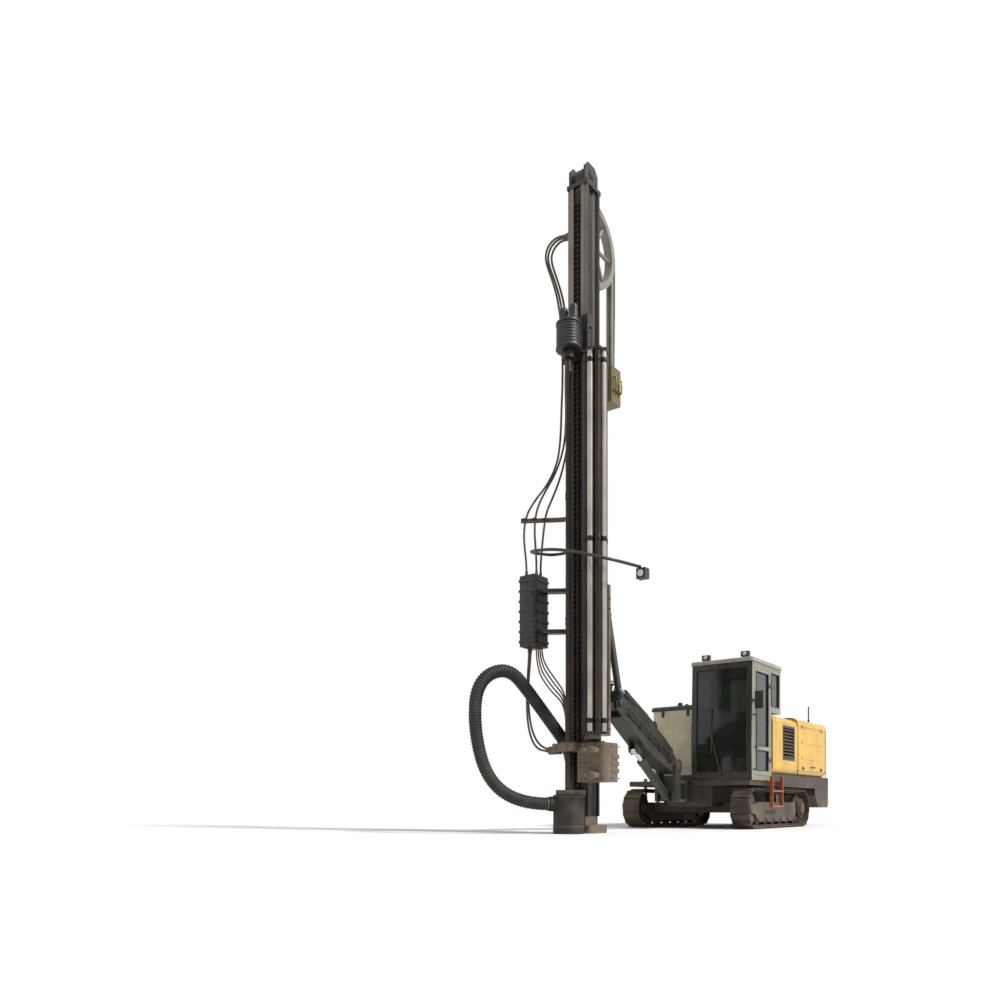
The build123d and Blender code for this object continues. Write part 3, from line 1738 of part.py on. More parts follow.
hose_routes = {
    "hose_line_1": [
        (55, -200, 8920), (55, -300, 8920), (56, -395, 8945), (58, -490, 8940), (62, -573, 8893),
        (66, -626, 8812), (70, -638, 8705), (72, -596, 8550), (76, -502, 8300), (80, -415, 8020),
        (84, -350, 7640), (74, -330, 7220), (82, -320, 6760),
        (92, -336, 6300), (98, -345, 5890), (122, -385, 5520), (210, -505, 5200),
        (320, -655, 4970), (395, -765, 4750), (405, -806, 4480), (386, -795, 4220),
        (372, -775, 4010), (372, -775, 3840),
    ],
    "hose_line_2": [
        (0, -200, 8920), (0, -302, 8920), (2, -396, 8948), (5, -488, 8942), (8, -568, 8896),
        (11, -620, 8814), (13, -631, 8705), (12, -588, 8550), (18, -490, 8305), (22, -400, 8010),
        (24, -335, 7620), (16, -300, 7180), (22, -312, 6700),
        (14, -300, 6230), (24, -325, 5790), (90, -430, 5400), (215, -560, 5090),
        (300, -640, 4840), (322, -668, 4570), (308, -660, 4310), (288, -652, 4060),
        (288, -652, 3840),
    ],
    "hose_line_3": [
        (-55, -200, 8920), (-55, -300, 8920), (-53, -390, 8946), (-50, -480, 8936),
        (-48, -556, 8884), (-46, -600, 8808), (-46, -605, 8700), (-48, -560, 8550),
        (-42, -468, 8300), (-36, -378, 8010), (-32, -318, 7600),
        (-42, -285, 7140), (-34, -300, 6660), (-44, -288, 6190), (-30, -315, 5740),
        (20, -400, 5330), (120, -480, 5010), (205, -540, 4780), (226, -566, 4510),
        (208, -610, 4260), (186, -648, 4040), (186, -648, 3840),
    ],
    "hose_line_4": [
        (330, -760, 2780), (330, -760, 2640), (322, -785, 2420), (330, -800, 2140),
        (345, -790, 1840), (365, -745, 1560), (385, -660, 1360), (396, -560, 1250),
        (400, -450, 1210), (400, -340, 1210),
    ],
    "hose_line_5": [
        (230, -800, 2780), (230, -800, 2640), (224, -830, 2430), (222, -850, 2150),
        (232, -835, 1860), (240, -785, 1590), (250, -690, 1390), (264, -570, 1285),
        (278, -440, 1240), (280, -310, 1235), (280, -190, 1235),
    ],
}

for line_name, line_points in hose_routes.items():
    with BuildPart() as hose_line:
        hose([(along(beam_x + x), boom_y + y, z) for x, y, z in line_points], line_radius)
    tube_length = hose_line.part.volume / (pi * line_radius**2)
    print(line_name, "length", round(tube_length), "mm")
    write(hose_line, line_name)
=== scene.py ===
# %% [markdown]
# A crawler drilling rig stands on a pale studio floor. Its construction comes ready made, as a fixed
# frame of solids with their joints. This lesson dresses that frame: paint, rubber, glass and dust for
# every solid, and the small things that a solid model leaves out, such as bolts, hoses and seats.

# %% Load the fixed frame
from math import cos, pi, radians, sin

import bpy
from mathutils import Matrix, Vector


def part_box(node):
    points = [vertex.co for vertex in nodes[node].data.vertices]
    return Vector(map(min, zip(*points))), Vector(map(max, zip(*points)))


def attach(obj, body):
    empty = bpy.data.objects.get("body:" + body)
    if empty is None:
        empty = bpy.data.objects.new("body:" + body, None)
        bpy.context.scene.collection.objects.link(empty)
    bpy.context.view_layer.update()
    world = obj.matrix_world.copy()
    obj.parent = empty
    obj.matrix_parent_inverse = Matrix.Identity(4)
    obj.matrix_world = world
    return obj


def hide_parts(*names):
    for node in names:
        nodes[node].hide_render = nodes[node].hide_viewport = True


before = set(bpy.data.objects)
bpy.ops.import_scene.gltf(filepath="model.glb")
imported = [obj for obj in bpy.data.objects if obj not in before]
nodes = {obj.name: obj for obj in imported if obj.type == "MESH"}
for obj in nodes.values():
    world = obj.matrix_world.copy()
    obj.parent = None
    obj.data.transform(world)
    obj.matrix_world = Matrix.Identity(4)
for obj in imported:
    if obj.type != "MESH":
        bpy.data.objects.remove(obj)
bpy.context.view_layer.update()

# %% [markdown]
# Many places are worked out from the solids themselves. The beam of the drill feed and the tracks
# are the two that most other pieces line up with, so their middles get names here.

# %% Places read from the frame
beam_low, beam_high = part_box("feed_beam")
beam_x = (beam_low.x + beam_high.x) / 2
beam_y = (beam_low.y + beam_high.y) / 2
track_low, track_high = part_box("track_left")
track_x = (track_low.x + track_high.x) / 2
string_low, string_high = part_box("drill_string")
drill_x = (string_low.x + string_high.x) / 2
print("beam at", round(beam_x, 3), round(beam_y, 3), "tracks at", round(track_x, 3))

# %% [markdown]
# The picture was taken from low down, ahead and to the left of the machine. A level camera with a
# vertical shift keeps the mast upright, as a view camera does; tilting it up would make it lean.

# %% Camera
camera_place = (14.03, 6.49, 0.40)
camera_heading = 90 + 37.1
lens_mm = 30.6
upward_shift = 0.306

bpy.ops.object.camera_add(
    location=camera_place, rotation=(radians(90), 0, radians(camera_heading))
)
camera = bpy.context.object
camera.name = "photo_camera"
camera.data.lens = lens_mm
camera.data.sensor_width = 36
camera.data.shift_y = upward_shift
camera.data.clip_end = 300
bpy.context.scene.camera = camera

# %% [markdown]
# The hydraulic hoses come before everything else, because they are the one thing that must fit both
# the solids and the picture. Each is one smooth NURBS curve, led along by the listed points, with
# a round bevel. Points are in millimetres from the middle of the beam: ahead, left, and the height.

# %% Routes of the hydraulic hoses
hose_radius = 0.016
hose_routes = {
    "hose_line_1": [
        (55, -200, 8920), (55, -300, 8920), (56, -395, 8945), (58, -490, 8940), (62, -573, 8893),
        (66, -626, 8812), (70, -638, 8705), (72, -596, 8550), (76, -502, 8300), (80, -415, 8020),
        (84, -350, 7640), (74, -330, 7220), (82, -320, 6760),
        (92, -336, 6300), (98, -345, 5890), (122, -385, 5520), (210, -505, 5200),
        (320, -655, 4970), (395, -765, 4750), (405, -806, 4480), (386, -795, 4220),
        (372, -775, 4010), (372, -775, 3840),
    ],
    "hose_line_2": [
        (0, -200, 8920), (0, -302, 8920), (2, -396, 8948), (5, -488, 8942), (8, -568, 8896),
        (11, -620, 8814), (13, -631, 8705), (12, -588, 8550), (18, -490, 8305), (22, -400, 8010),
        (24, -335, 7620), (16, -300, 7180), (22, -312, 6700),
        (14, -300, 6230), (24, -325, 5790), (90, -430, 5400), (215, -560, 5090),
        (300, -640, 4840), (322, -668, 4570), (308, -660, 4310), (288, -652, 4060),
        (288, -652, 3840),
    ],
    "hose_line_3": [
        (-55, -200, 8920), (-55, -300, 8920), (-53, -390, 8946), (-50, -480, 8936),
        (-48, -556, 8884), (-46, -600, 8808), (-46, -605, 8700), (-48, -560, 8550),
        (-42, -468, 8300), (-36, -378, 8010), (-32, -318, 7600),
        (-42, -285, 7140), (-34, -300, 6660), (-44, -288, 6190), (-30, -315, 5740),
        (20, -400, 5330), (120, -480, 5010), (205, -540, 4780), (226, -566, 4510),
        (208, -610, 4260), (186, -648, 4040), (186, -648, 3840),
    ],
    "hose_line_4": [
        (330, -760, 2780), (330, -760, 2640), (322, -785, 2420), (330, -800, 2140),
        (345, -790, 1840), (365, -745, 1560), (385, -660, 1360), (396, -560, 1250),
        (400, -450, 1210), (400, -340, 1210),
    ],
    "hose_line_5": [
        (230, -800, 2780), (230, -800, 2640), (224, -830, 2430), (222, -850, 2150),
        (232, -835, 1860), (240, -785, 1590), (250, -690, 1390), (264, -570, 1285),
        (278, -440, 1240), (280, -310, 1235), (280, -190, 1235),
    ],
}


def on_beam(ahead, left, height):
    """Point in metres for millimetres counted from the middle of the beam."""
    return Vector((beam_x + ahead / 1000, beam_y + left / 1000, height / 1000))


def smooth_route(name, points, radius, steps=6):
    """One smooth curve led along by a route's points, with a round section."""
    curve = bpy.data.curves.new(name, "CURVE")
    curve.dimensions = "3D"
    curve.resolution_u = steps
    curve.bevel_depth = radius
    curve.bevel_resolution = 3
    spline = curve.splines.new("NURBS")
    spline.points.add(len(points) - 1)
    for point, place in zip(spline.points, points):
        point.co = (*place, 1)
    spline.order_u = 3
    spline.use_endpoint_u = True
    piece = bpy.data.objects.new(name, curve)
    bpy.context.scene.collection.objects.link(piece)
    return piece


hoses = {}
for hose_name, hose_points in hose_routes.items():
    route = [on_beam(*point) for point in hose_points]
    hoses[hose_name] = smooth_route(hose_name.replace("line", "tube"), route, hose_radius)
print("hoses", len(hoses))

# %% [markdown]
# Materials are networks of shader nodes. Small helpers keep them readable: most of them add a node,
# fill its sockets and hand back its output. The last makes a node group with named inputs and
# outputs, so that dust or worn edges are described once and used in many paints.

# %% Helpers for shader nodes
def tone(red, green, blue):
    """Linear colour for a colour as it looks on a screen, from 0 to 255."""
    return tuple((channel / 255) ** 2.2 for channel in (red, green, blue)) + (1.0,)


def fill(tree, node, sockets):
    """Fills a node's sockets. A socket takes a plain value or the output of another node."""
    for key, value in sockets.items():
        if isinstance(value, bpy.types.NodeSocket):
            tree.links.new(value, node.inputs[key])
        else:
            node.inputs[key].default_value = value
    return node


def add_node(tree, kind, sockets=None, **settings):
    """Adds a shader node with its settings and fills its sockets."""
    made = tree.nodes.new("ShaderNode" + kind)
    for key, value in settings.items():
        setattr(made, key, value)
    return fill(tree, made, sockets or {})


def object_place(tree):
    """Object coordinates, which stay on a piece when it moves."""
    return add_node(tree, "TexCoord").outputs["Object"]


def noise(tree, scale, detail):
    """Output of a Noise node in Object coordinates."""
    sockets = {"Vector": object_place(tree), "Scale": scale, "Detail": detail}
    return add_node(tree, "TexNoise", sockets).outputs[0]


def between(tree, value, low, high):
    """Output of a Map Range node that turns 0 to 1 into low to high."""
    return add_node(tree, "MapRange", {"Value": value, "To Min": low, "To Max": high}).outputs[0]


def bumps(tree, height, strength, distance):
    """Output of a Bump node."""
    sockets = {"Height": height, "Strength": strength, "Distance": distance}
    return add_node(tree, "Bump", sockets).outputs[0]


def calculate(tree, operation, first, second=0.0, clamp=False):
    """Output of a Math node."""
    return add_node(
        tree, "Math", {0: first, 1: second}, operation=operation, use_clamp=clamp
    ).outputs[0]


def blend_tones(tree, share, first, second):
    """Output of a Mix node for two colours."""
    mixed = add_node(tree, "Mix", {0: share, 6: first, 7: second}, data_type="RGBA")
    return mixed.outputs[2]


def fade(tree, value, start, end):
    """Output of a Map Range node that goes from 0 at start to 1 at end."""
    ramp = add_node(tree, "MapRange", {"Value": value, "From Min": start, "From Max": end})
    return ramp.outputs[0]


def new_group(name, inputs, outputs):
    """Empty node group with named sockets, and its inputs' and outputs' sockets."""
    group = bpy.data.node_groups.new(name, "ShaderNodeTree")
    for label, kind, value in inputs:
        socket = group.interface.new_socket(
            label, in_out="INPUT", socket_type="NodeSocket" + kind
        )
        socket.default_value = value
    for label, kind in outputs:
        group.interface.new_socket(label, in_out="OUTPUT", socket_type="NodeSocket" + kind)
    start = group.nodes.new("NodeGroupInput")
    end = group.nodes.new("NodeGroupOutput")
    return group, start.outputs, end.inputs


# %% [markdown]
# Dust is what tells a working rig from a toy. It is thickest near the ground, lies on faces that
# look up, and breaks up in patches. The group reads Object coordinates, so it stays on the piece.

# %% Node group for dust
dust_group, taken, given = new_group(
    "site_dust",
    [
        ("Colour", "Color", (0.5, 0.5, 0.5, 1)),
        ("Dust", "Color", tone(140, 124, 106)),
        ("Amount", "Float", 0.5),
        ("Reach", "Float", 1.6),
        ("Clean Roughness", "Float", 0.35),
    ],
    [("Colour", "Color"), ("Roughness", "Float"), ("Height", "Float")],
)
normal = add_node(dust_group, "NewGeometry").outputs["Normal"]
looking_up = add_node(dust_group, "SeparateXYZ", {0: normal}).outputs["Z"]
height = add_node(dust_group, "SeparateXYZ", {0: object_place(dust_group)}).outputs["Z"]
patches = noise(dust_group, 2.3, 6.0)
grains = noise(dust_group, 55.0, 5.0)
low = calculate(dust_group, "SUBTRACT", 1.0, fade(dust_group, height, 0.0, taken["Reach"]), True)
flat = calculate(dust_group, "MULTIPLY", fade(dust_group, looking_up, 0.35, 1.0), 0.75)
settled = calculate(dust_group, "ADD", calculate(dust_group, "ADD", low, flat), 0.22)
broken = calculate(dust_group, "MULTIPLY", settled, fade(dust_group, patches, 0.25, 0.7))
fine = calculate(dust_group, "MULTIPLY", broken, fade(dust_group, grains, 0.2, 0.62))
cover = calculate(dust_group, "MULTIPLY", fine, taken["Amount"], True)
dusty = blend_tones(dust_group, cover, taken["Colour"], taken["Dust"])
shade = fade(dust_group, patches, -0.6, 0.9)
dust_group.links.new(blend_tones(dust_group, shade, (0, 0, 0, 1), dusty), given["Colour"])
rough = between(dust_group, cover, taken["Clean Roughness"], 0.95)
dust_group.links.new(rough, given["Roughness"])
dust_group.links.new(calculate(dust_group, "MULTIPLY", grains, cover), given["Height"])

# %% [markdown]
# Paint wears off along edges first. A Bevel node gives the normal of a rounded edge; where it
# differs from the true normal there is an edge, and noise breaks the line into chips.

# %% Node group for worn edges
wear_group, taken, given = new_group(
    "edge_wear", [("Width", "Float", 0.006), ("Amount", "Float", 0.5)], [("Mask", "Float")]
)
true_normal = add_node(wear_group, "NewGeometry").outputs["Normal"]
round_normal = add_node(wear_group, "Bevel", {"Radius": taken["Width"]}, samples=4).outputs[0]
agree = add_node(
    wear_group, "VectorMath", {0: true_normal, 1: round_normal}, operation="DOT_PRODUCT"
)
edge = fade(wear_group, agree.outputs["Value"], 0.985, 0.86)
chips = noise(wear_group, 26.0, 6.0)
chipped = calculate(wear_group, "MULTIPLY", edge, fade(wear_group, chips, 0.42, 0.58))
wear_group.links.new(
    calculate(wear_group, "MULTIPLY", chipped, taken["Amount"], True), given["Mask"]
)

# %% [markdown]
# Rain draws dirt down upright sheets. Noise stretched along Z makes those runs.

# %% Node group for rain streaks
streak_group, taken, given = new_group(
    "rain_streaks", [("Scale", "Float", 14.0), ("Amount", "Float", 0.4)], [("Mask", "Float")]
)
drawn = add_node(
    streak_group, "Mapping", {"Vector": object_place(streak_group), "Scale": (1.0, 1.0, 0.06)}
)
runs = add_node(
    streak_group, "TexNoise", {"Vector": drawn.outputs[0], "Scale": taken["Scale"], "Detail": 4.0}
)
runs = fade(streak_group, runs.outputs[0], 0.48, 0.72)
streak_group.links.new(
    calculate(streak_group, "MULTIPLY", runs, taken["Amount"], True), given["Mask"]
)

# %% [markdown]
# One function makes all the paints and bare metals: base colour, painted shade on faces that look
# one way and painted highlights on chosen rods, rain streaks, chipped edges that show the metal
# below, then dust over everything. Only its numbers change from finish to finish.

# %% Paints and bare metals
rod_reach = 0.048


def group_node(tree, group, sockets):
    """Adds a node group and fills its sockets."""
    return fill(tree, add_node(tree, "Group", node_tree=group), sockets)


def new_material(name):
    """Material with an empty Principled shader, its node tree and that shader."""
    material = bpy.data.materials.new(name)
    material.use_nodes = True
    tree = material.node_tree
    return material, tree, tree.nodes["Principled BSDF"]


def surface(name, colour, roughness=0.35, metal=0.0, dust=0.5, reach=1.6, wear=0.5, streaks=0.35,
            bare=tone(120, 108, 96), coat=0.0, grain=0.15, painted_shade_axis=None, below=None,
            painted_highlight_rods=()):
    """Painted or bare metal. painted_shade_axis is (axis, colour): faces that look along +axis get
    that colour as painted shade. below is (colour, height where it begins, height where it is
    full), and painted_highlight_rods are the upright axes of rods that are painted light all over
    as a painted highlight."""
    material, tree, shader = new_material(name)
    base = colour
    if below:
        level = add_node(tree, "SeparateXYZ", {0: object_place(tree)}).outputs["Z"]
        base = blend_tones(tree, fade(tree, level, below[1], below[2]), base, below[0])
    # Faces that look along the given axis take a darker colour: painted shade.
    if painted_shade_axis:
        normal = add_node(tree, "NewGeometry").outputs["Normal"]
        ahead = add_node(tree, "SeparateXYZ", {0: normal}).outputs[painted_shade_axis[0]]
        base = blend_tones(tree, fade(tree, ahead, 0.6, 0.75), base, painted_shade_axis[1])
    # Each listed rod is painted light all round its axis: a painted highlight.
    for rod_x, rod_y in painted_highlight_rods:
        flat = add_node(
            tree, "VectorMath", {0: object_place(tree), 1: (1, 1, 0)}, operation="MULTIPLY"
        )
        away = add_node(
            tree, "VectorMath", {0: flat.outputs[0], 1: (rod_x, rod_y, 0)}, operation="DISTANCE"
        )
        near = fade(tree, away.outputs["Value"], rod_reach + 0.002, rod_reach)
        base = blend_tones(tree, near, base, tone(196, 188, 178))
    runs = group_node(tree, streak_group, {"Amount": streaks}).outputs["Mask"]
    base = blend_tones(tree, runs, base, tone(96, 84, 70))
    if wear:
        worn = group_node(tree, wear_group, {"Amount": wear}).outputs["Mask"]
        base = blend_tones(tree, worn, base, bare)
    dusted = group_node(
        tree, dust_group,
        {"Colour": base, "Amount": dust, "Reach": reach, "Clean Roughness": roughness},
    )
    peel = calculate(tree, "MULTIPLY", noise(tree, 140.0, 3.0), grain)
    relief = calculate(tree, "ADD", peel, dusted.outputs["Height"])
    fill(tree, shader, {
        "Base Color": dusted.outputs["Colour"], "Roughness": dusted.outputs["Roughness"],
        "Metallic": metal, "Coat Weight": coat, "Normal": bumps(tree, relief, 0.35, 0.004),
    })
    return material


yellow = surface(
    "hood_yellow", tone(240, 186, 22), roughness=0.3, dust=0.22, reach=1.7, wear=0.55, coat=0.2,
    streaks=0.25,
)
brown_frame = surface("frame_brown_grey", tone(48, 42, 37), roughness=0.5, dust=0.7, reach=1.5)
cream = surface("collector_cream", tone(232, 222, 186), dust=0.3, reach=1.8, coat=0.15, streaks=0.2)
dark = surface("dark_panel_paint", tone(34, 34, 37), roughness=0.42, dust=0.35, reach=2.0)
orange = surface("step_orange", tone(186, 84, 44), roughness=0.45, dust=0.7, reach=1.1, wear=0.9)
# The cab's faces that look ahead along +X are painted nearly black: painted shade on its front.
cab_paint = surface(
    "cab_beige_grey", tone(150, 148, 130), dust=0.4, reach=1.6, coat=0.2,
    painted_shade_axis=("X", tone(28, 28, 27)),
)
roof_paint = surface("roof_pale", tone(176, 174, 160), dust=0.55, reach=1.0)
boom_paint = surface(
    "boom_grey_green", tone(38, 46, 43), roughness=0.42, dust=0.4, reach=2.0, wear=0.8
)
steel = surface(
    "track_steel", tone(66, 61, 55), roughness=0.5, metal=0.7, dust=1.0, reach=0.9, wear=0.8,
    bare=tone(150, 142, 132), grain=0.6,
)
frame_steel = surface("frame_steel", tone(46, 42, 38), roughness=0.55, dust=0.85, reach=1.2)
taupe = surface(
    "dusty_taupe", tone(112, 98, 84), roughness=0.6, dust=0.9, reach=2.6, wear=0.7, grain=0.4
)
# The beam's faces that look along +Y are painted darker: painted shade on that side.
aluminium = surface(
    "beam_aluminium", tone(32, 28, 27), roughness=0.42, metal=0.35, dust=0.22, reach=2.4,
    wear=0.8, bare=tone(110, 104, 98), below=(tone(140, 132, 122), 6.6, 7.4),
    painted_shade_axis=("Y", tone(27, 23, 21)),
)
guide_grey = surface(
    "guide_grey", tone(150, 146, 138), roughness=0.5, dust=0.3,
    below=(tone(112, 106, 66), 7.2, 7.14),
)
chain_steel = surface(
    "chain_steel", tone(52, 46, 41), roughness=0.4, metal=0.8, dust=0.2, reach=2.0, streaks=0.1
)
black_steel = surface("black_steel", tone(30, 31, 33), roughness=0.45, dust=0.35, reach=1.8)
rack_low, rack_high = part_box("rod_carousel")
rack_x = (rack_low.x + rack_high.x) / 2
rack_y = (rack_low.y + rack_high.y) / 2
rod_ring = 0.135
# Two rods of the carousel are painted light all over: painted highlights.
rod_steel = surface(
    "rod_steel", tone(52, 45, 42), roughness=0.28, metal=0.6, dust=0.2, reach=1.2, wear=0.3,
    painted_highlight_rods=[(rack_x + rod_ring, rack_y), (rack_x, rack_y + rod_ring)],
)
string_steel = surface(
    "string_steel", tone(48, 42, 38), roughness=0.35, metal=0.6, dust=0.35, reach=2.4, wear=0.3
)
engine_iron = surface("engine_iron", tone(92, 94, 92), roughness=0.6, dust=0.6, wear=0.2)
bolt_steel = surface(
    "bolt_steel", tone(98, 92, 86), roughness=0.45, metal=0.7, dust=0.3, wear=0.0, grain=0.05
)
brass = surface("brass_fitting", tone(150, 128, 66), roughness=0.35, metal=0.8, dust=0.3, wear=0.0)

# %% [markdown]
# The rods of the cylinders are hard chrome: a mirror with faint smears in it.

# %% Chrome
chrome, tree, shader = new_material("hard_chrome")
smears = noise(tree, 7.0, 4.0)
fill(tree, shader, {
    "Base Color": blend_tones(tree, smears, tone(226, 226, 228), tone(196, 190, 180)),
    "Roughness": between(tree, smears, 0.08, 0.32), "Metallic": 1.0,
})

# %% [markdown]
# Rubber is nearly black and dull, with a grey bloom of dust where it has been rubbed.

# %% Rubber
def rubber(name, colour, bloom, weave):
    """Dull black rubber with a dusty bloom and a fine wrap pattern."""
    material, tree, shader = new_material(name)
    cloudy = noise(tree, 5.0, 6.0)
    sockets = {"Vector": object_place(tree), "Scale": weave, "Distortion": 1.5}
    wrap = add_node(tree, "TexWave", sockets).outputs["Fac"]
    share = calculate(tree, "MULTIPLY", fade(tree, cloudy, 0.35, 0.75), bloom)
    fill(tree, shader, {
        "Base Color": blend_tones(tree, share, colour, tone(128, 116, 102)),
        "Roughness": between(tree, cloudy, 0.5, 0.85), "Normal": bumps(tree, wrap, 0.2, 0.002),
    })
    return material


black_rubber = rubber("black_rubber", tone(20, 20, 21), 0.18, 40.0)
hose_rubber = rubber("hose_rubber", tone(70, 60, 54), 0.7, 90.0)

# %% [markdown]
# Cab glass is tinted and slightly dusty. Transmission stays a plain number, and only the tint and
# the roughness vary, where wiped and unwiped parts differ. The lamps' glass has ribs instead.

# %% Glass
glass, tree, shader = new_material("tinted_glass")
film = noise(tree, 3.0, 8.0)
fill(tree, shader, {
    "Base Color": blend_tones(tree, film, tone(86, 98, 92), tone(112, 118, 108)),
    "Roughness": between(tree, film, 0.02, 0.16), "Transmission Weight": 0.9, "IOR": 1.45,
})

lens_glass, tree, shader = new_material("lamp_lens")
ribs = add_node(tree, "TexWave", {"Vector": object_place(tree), "Scale": 60.0}).outputs["Fac"]
fill(tree, shader, {
    "Base Color": blend_tones(tree, ribs, tone(214, 218, 214), tone(186, 190, 188)),
    "Roughness": 0.12, "Coat Weight": 0.8, "Normal": bumps(tree, ribs, 0.4, 0.003),
})

# %% [markdown]
# Every solid of the frame now gets its finish. A solid comes with one material slot, so the list
# is simply cleared and filled again.

# %% Finish of every solid
finishes = {
    "track_left": steel, "track_right": steel, "rollers_left": steel, "rollers_right": steel,
    "track_frame_left": frame_steel, "track_frame_right": frame_steel,
    "rear_counterweight": brown_frame, "deck": frame_steel, "chassis": frame_steel,
    "hood_main": yellow, "hood_front": yellow, "hood_lid_left": yellow,
    "hood_lid_right": yellow, "louvre_panel": dark, "cooler": dark, "collector_lid": dark,
    "cab_fittings": black_steel, "hood_fittings": dark, "cab_interior": dark,
    "engine_block": engine_iron, "dust_collector": cream, "side_steps": orange,
    "cab_shell": cab_paint, "cab_door": cab_paint, "cab_roof": roof_paint,
    "cab_windows": glass, "door_glass": glass, "boom_base": boom_paint, "boom": boom_paint,
    "boom_head": boom_paint, "lift_barrel": boom_paint, "tilt_barrel": boom_paint,
    "swing_barrel": boom_paint, "lift_rod": chrome, "tilt_rod": chrome, "swing_rod": chrome,
    "extension_rod": chrome, "feed_holder": taupe, "extension_barrel": taupe,
    "feed_foot": taupe, "drill_guides": taupe, "rotation_head": dark, "suction_flange": taupe,
    "hose_rack": taupe, "carousel_brackets": taupe, "feed_beam": aluminium,
    "feed_crown": dark, "feed_chain": chain_steel, "suction_hood": black_rubber,
    "suction_hose": black_rubber, "valve_box": black_steel, "hose_guide": guide_grey,
    "lamp_hoop": dark, "drill_string": string_steel, "rod_carousel": rod_steel,
}
for name, solid in nodes.items():
    solid.data.materials.clear()
    solid.data.materials.append(finishes.get(name, hose_rubber))
print("dressed solids", len(nodes))

# %% [markdown]
# New pieces start from a primitive at its size and place. These helpers are the few moves that
# the rest of the lesson repeats: pick an object, soften its edges, add a box, bar, ring or turned
# part, repeat one piece at many places, and the last step that names a piece, paints it and lets
# it ride on a body of the frame.

# %% Helpers for modelling
def pick(*objects):
    """Selects these objects alone, the first one active."""
    bpy.ops.object.select_all(action="DESELECT")
    for each in objects:
        each.select_set(True)
    bpy.context.view_layer.objects.active = objects[0]


def settle():
    """Moves the active object's place, turn and size into its mesh."""
    bpy.ops.object.transform_apply(location=True, rotation=True, scale=True)
    return bpy.context.object


def soften(piece, width, segments=2):
    """Rounds the sharp edges and shades the rest smooth."""
    pick(piece)
    bpy.ops.object.modifier_add(type="BEVEL")
    bevel = piece.modifiers[-1]
    bevel.width = width
    bevel.segments = segments
    bevel.limit_method = "ANGLE"
    bevel.angle_limit = radians(40)
    bpy.ops.object.modifier_apply(modifier=bevel.name)
    bpy.ops.object.shade_smooth_by_angle(angle=radians(35))
    return piece


def add_box(corner, opposite, edge=0.003):
    """Box between two opposite corners with softened edges."""
    low = Vector(map(min, corner, opposite))
    high = Vector(map(max, corner, opposite))
    bpy.ops.mesh.primitive_cube_add(size=1, location=(low + high) / 2)
    bpy.context.object.scale = high - low
    return soften(settle(), edge)


def add_bar(start, end, radius, sides=20, edge=0.002):
    """Round bar between two points with softened ends."""
    start, end = Vector(start), Vector(end)
    run = end - start
    bpy.ops.mesh.primitive_cylinder_add(
        vertices=sides, radius=radius, depth=run.length, location=(start + end) / 2,
        rotation=run.to_track_quat("Z", "Y").to_euler(),
    )
    return soften(settle(), edge)


def add_ring(place, radius, thickness, segments=32, sides=8, turn=(0, 0, 0)):
    """Round ring. It lies flat unless it is turned."""
    bpy.ops.mesh.primitive_torus_add(
        location=place, rotation=turn, major_radius=radius, minor_radius=thickness,
        major_segments=segments, minor_segments=sides,
    )
    bpy.ops.object.shade_smooth()
    return settle()


def add_turned(start, direction, steps, sides=24, edge=0.002):
    """Turned part: a disc is extruded and resized, step by step. A step is (rise, radius)."""
    radius = steps[0][1]
    bpy.ops.mesh.primitive_circle_add(vertices=sides, radius=radius, fill_type="NGON")
    piece = bpy.context.object
    bpy.ops.object.mode_set(mode="EDIT")
    bpy.ops.mesh.select_all(action="SELECT")
    for rise, new_radius in steps[1:]:
        bpy.ops.mesh.extrude_region_move(TRANSFORM_OT_translate={"value": (0, 0, rise)})
        share = new_radius / radius
        bpy.ops.transform.resize(value=(share, share, 1))
        radius = new_radius
    bpy.ops.mesh.select_all(action="SELECT")
    bpy.ops.mesh.normals_make_consistent(inside=False)
    bpy.ops.object.mode_set(mode="OBJECT")
    piece.location = start
    piece.rotation_euler = Vector(direction).to_track_quat("Z", "Y").to_euler()
    return soften(settle(), edge)


def joined(pieces):
    """Several pieces made one."""
    pick(*pieces)
    if len(pieces) > 1:
        bpy.ops.object.join()
    return bpy.context.object


def repeated(master, places):
    """One piece out of copies of another that was modelled at the origin, one for each matrix."""
    made = []
    for matrix in places:
        copy = master.copy()
        copy.data = master.data.copy()
        copy.data.transform(matrix)
        bpy.context.scene.collection.objects.link(copy)
        made.append(copy)
    bpy.data.objects.remove(master)
    return joined(made)


def turned_round(centre, count):
    """Matrices that turn something round an upright axis, in equal steps."""
    return [
        Matrix.Translation(centre) @ Matrix.Rotation(2 * pi * i / count, 4, "Z")
        for i in range(count)
    ]


def dress(piece, name, material, body, slot, *stands_for):
    """Names a finished piece, paints it and lets it ride."""
    piece.name = name
    piece.data.name = name
    piece.data.materials.clear()
    piece.data.materials.append(material)
    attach(piece, body)
    if stands_for:
        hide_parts(*stands_for)
    return piece


def facing(place, direction):
    """Matrix that sets something modelled along +Z at this place, looking this way."""
    turn = Vector(direction).to_track_quat("Z", "Y").to_matrix().to_4x4()
    return Matrix.Translation(Vector(place)) @ turn


both_sides = ((1, "left"), (-1, "right"))
up = Vector((0, 0, 1))
forward = Vector((1, 0, 0))

# %% [markdown]
# The hoses get their rubber and a crimped steel sleeve at each end, where real hoses are pressed
# onto their fittings.

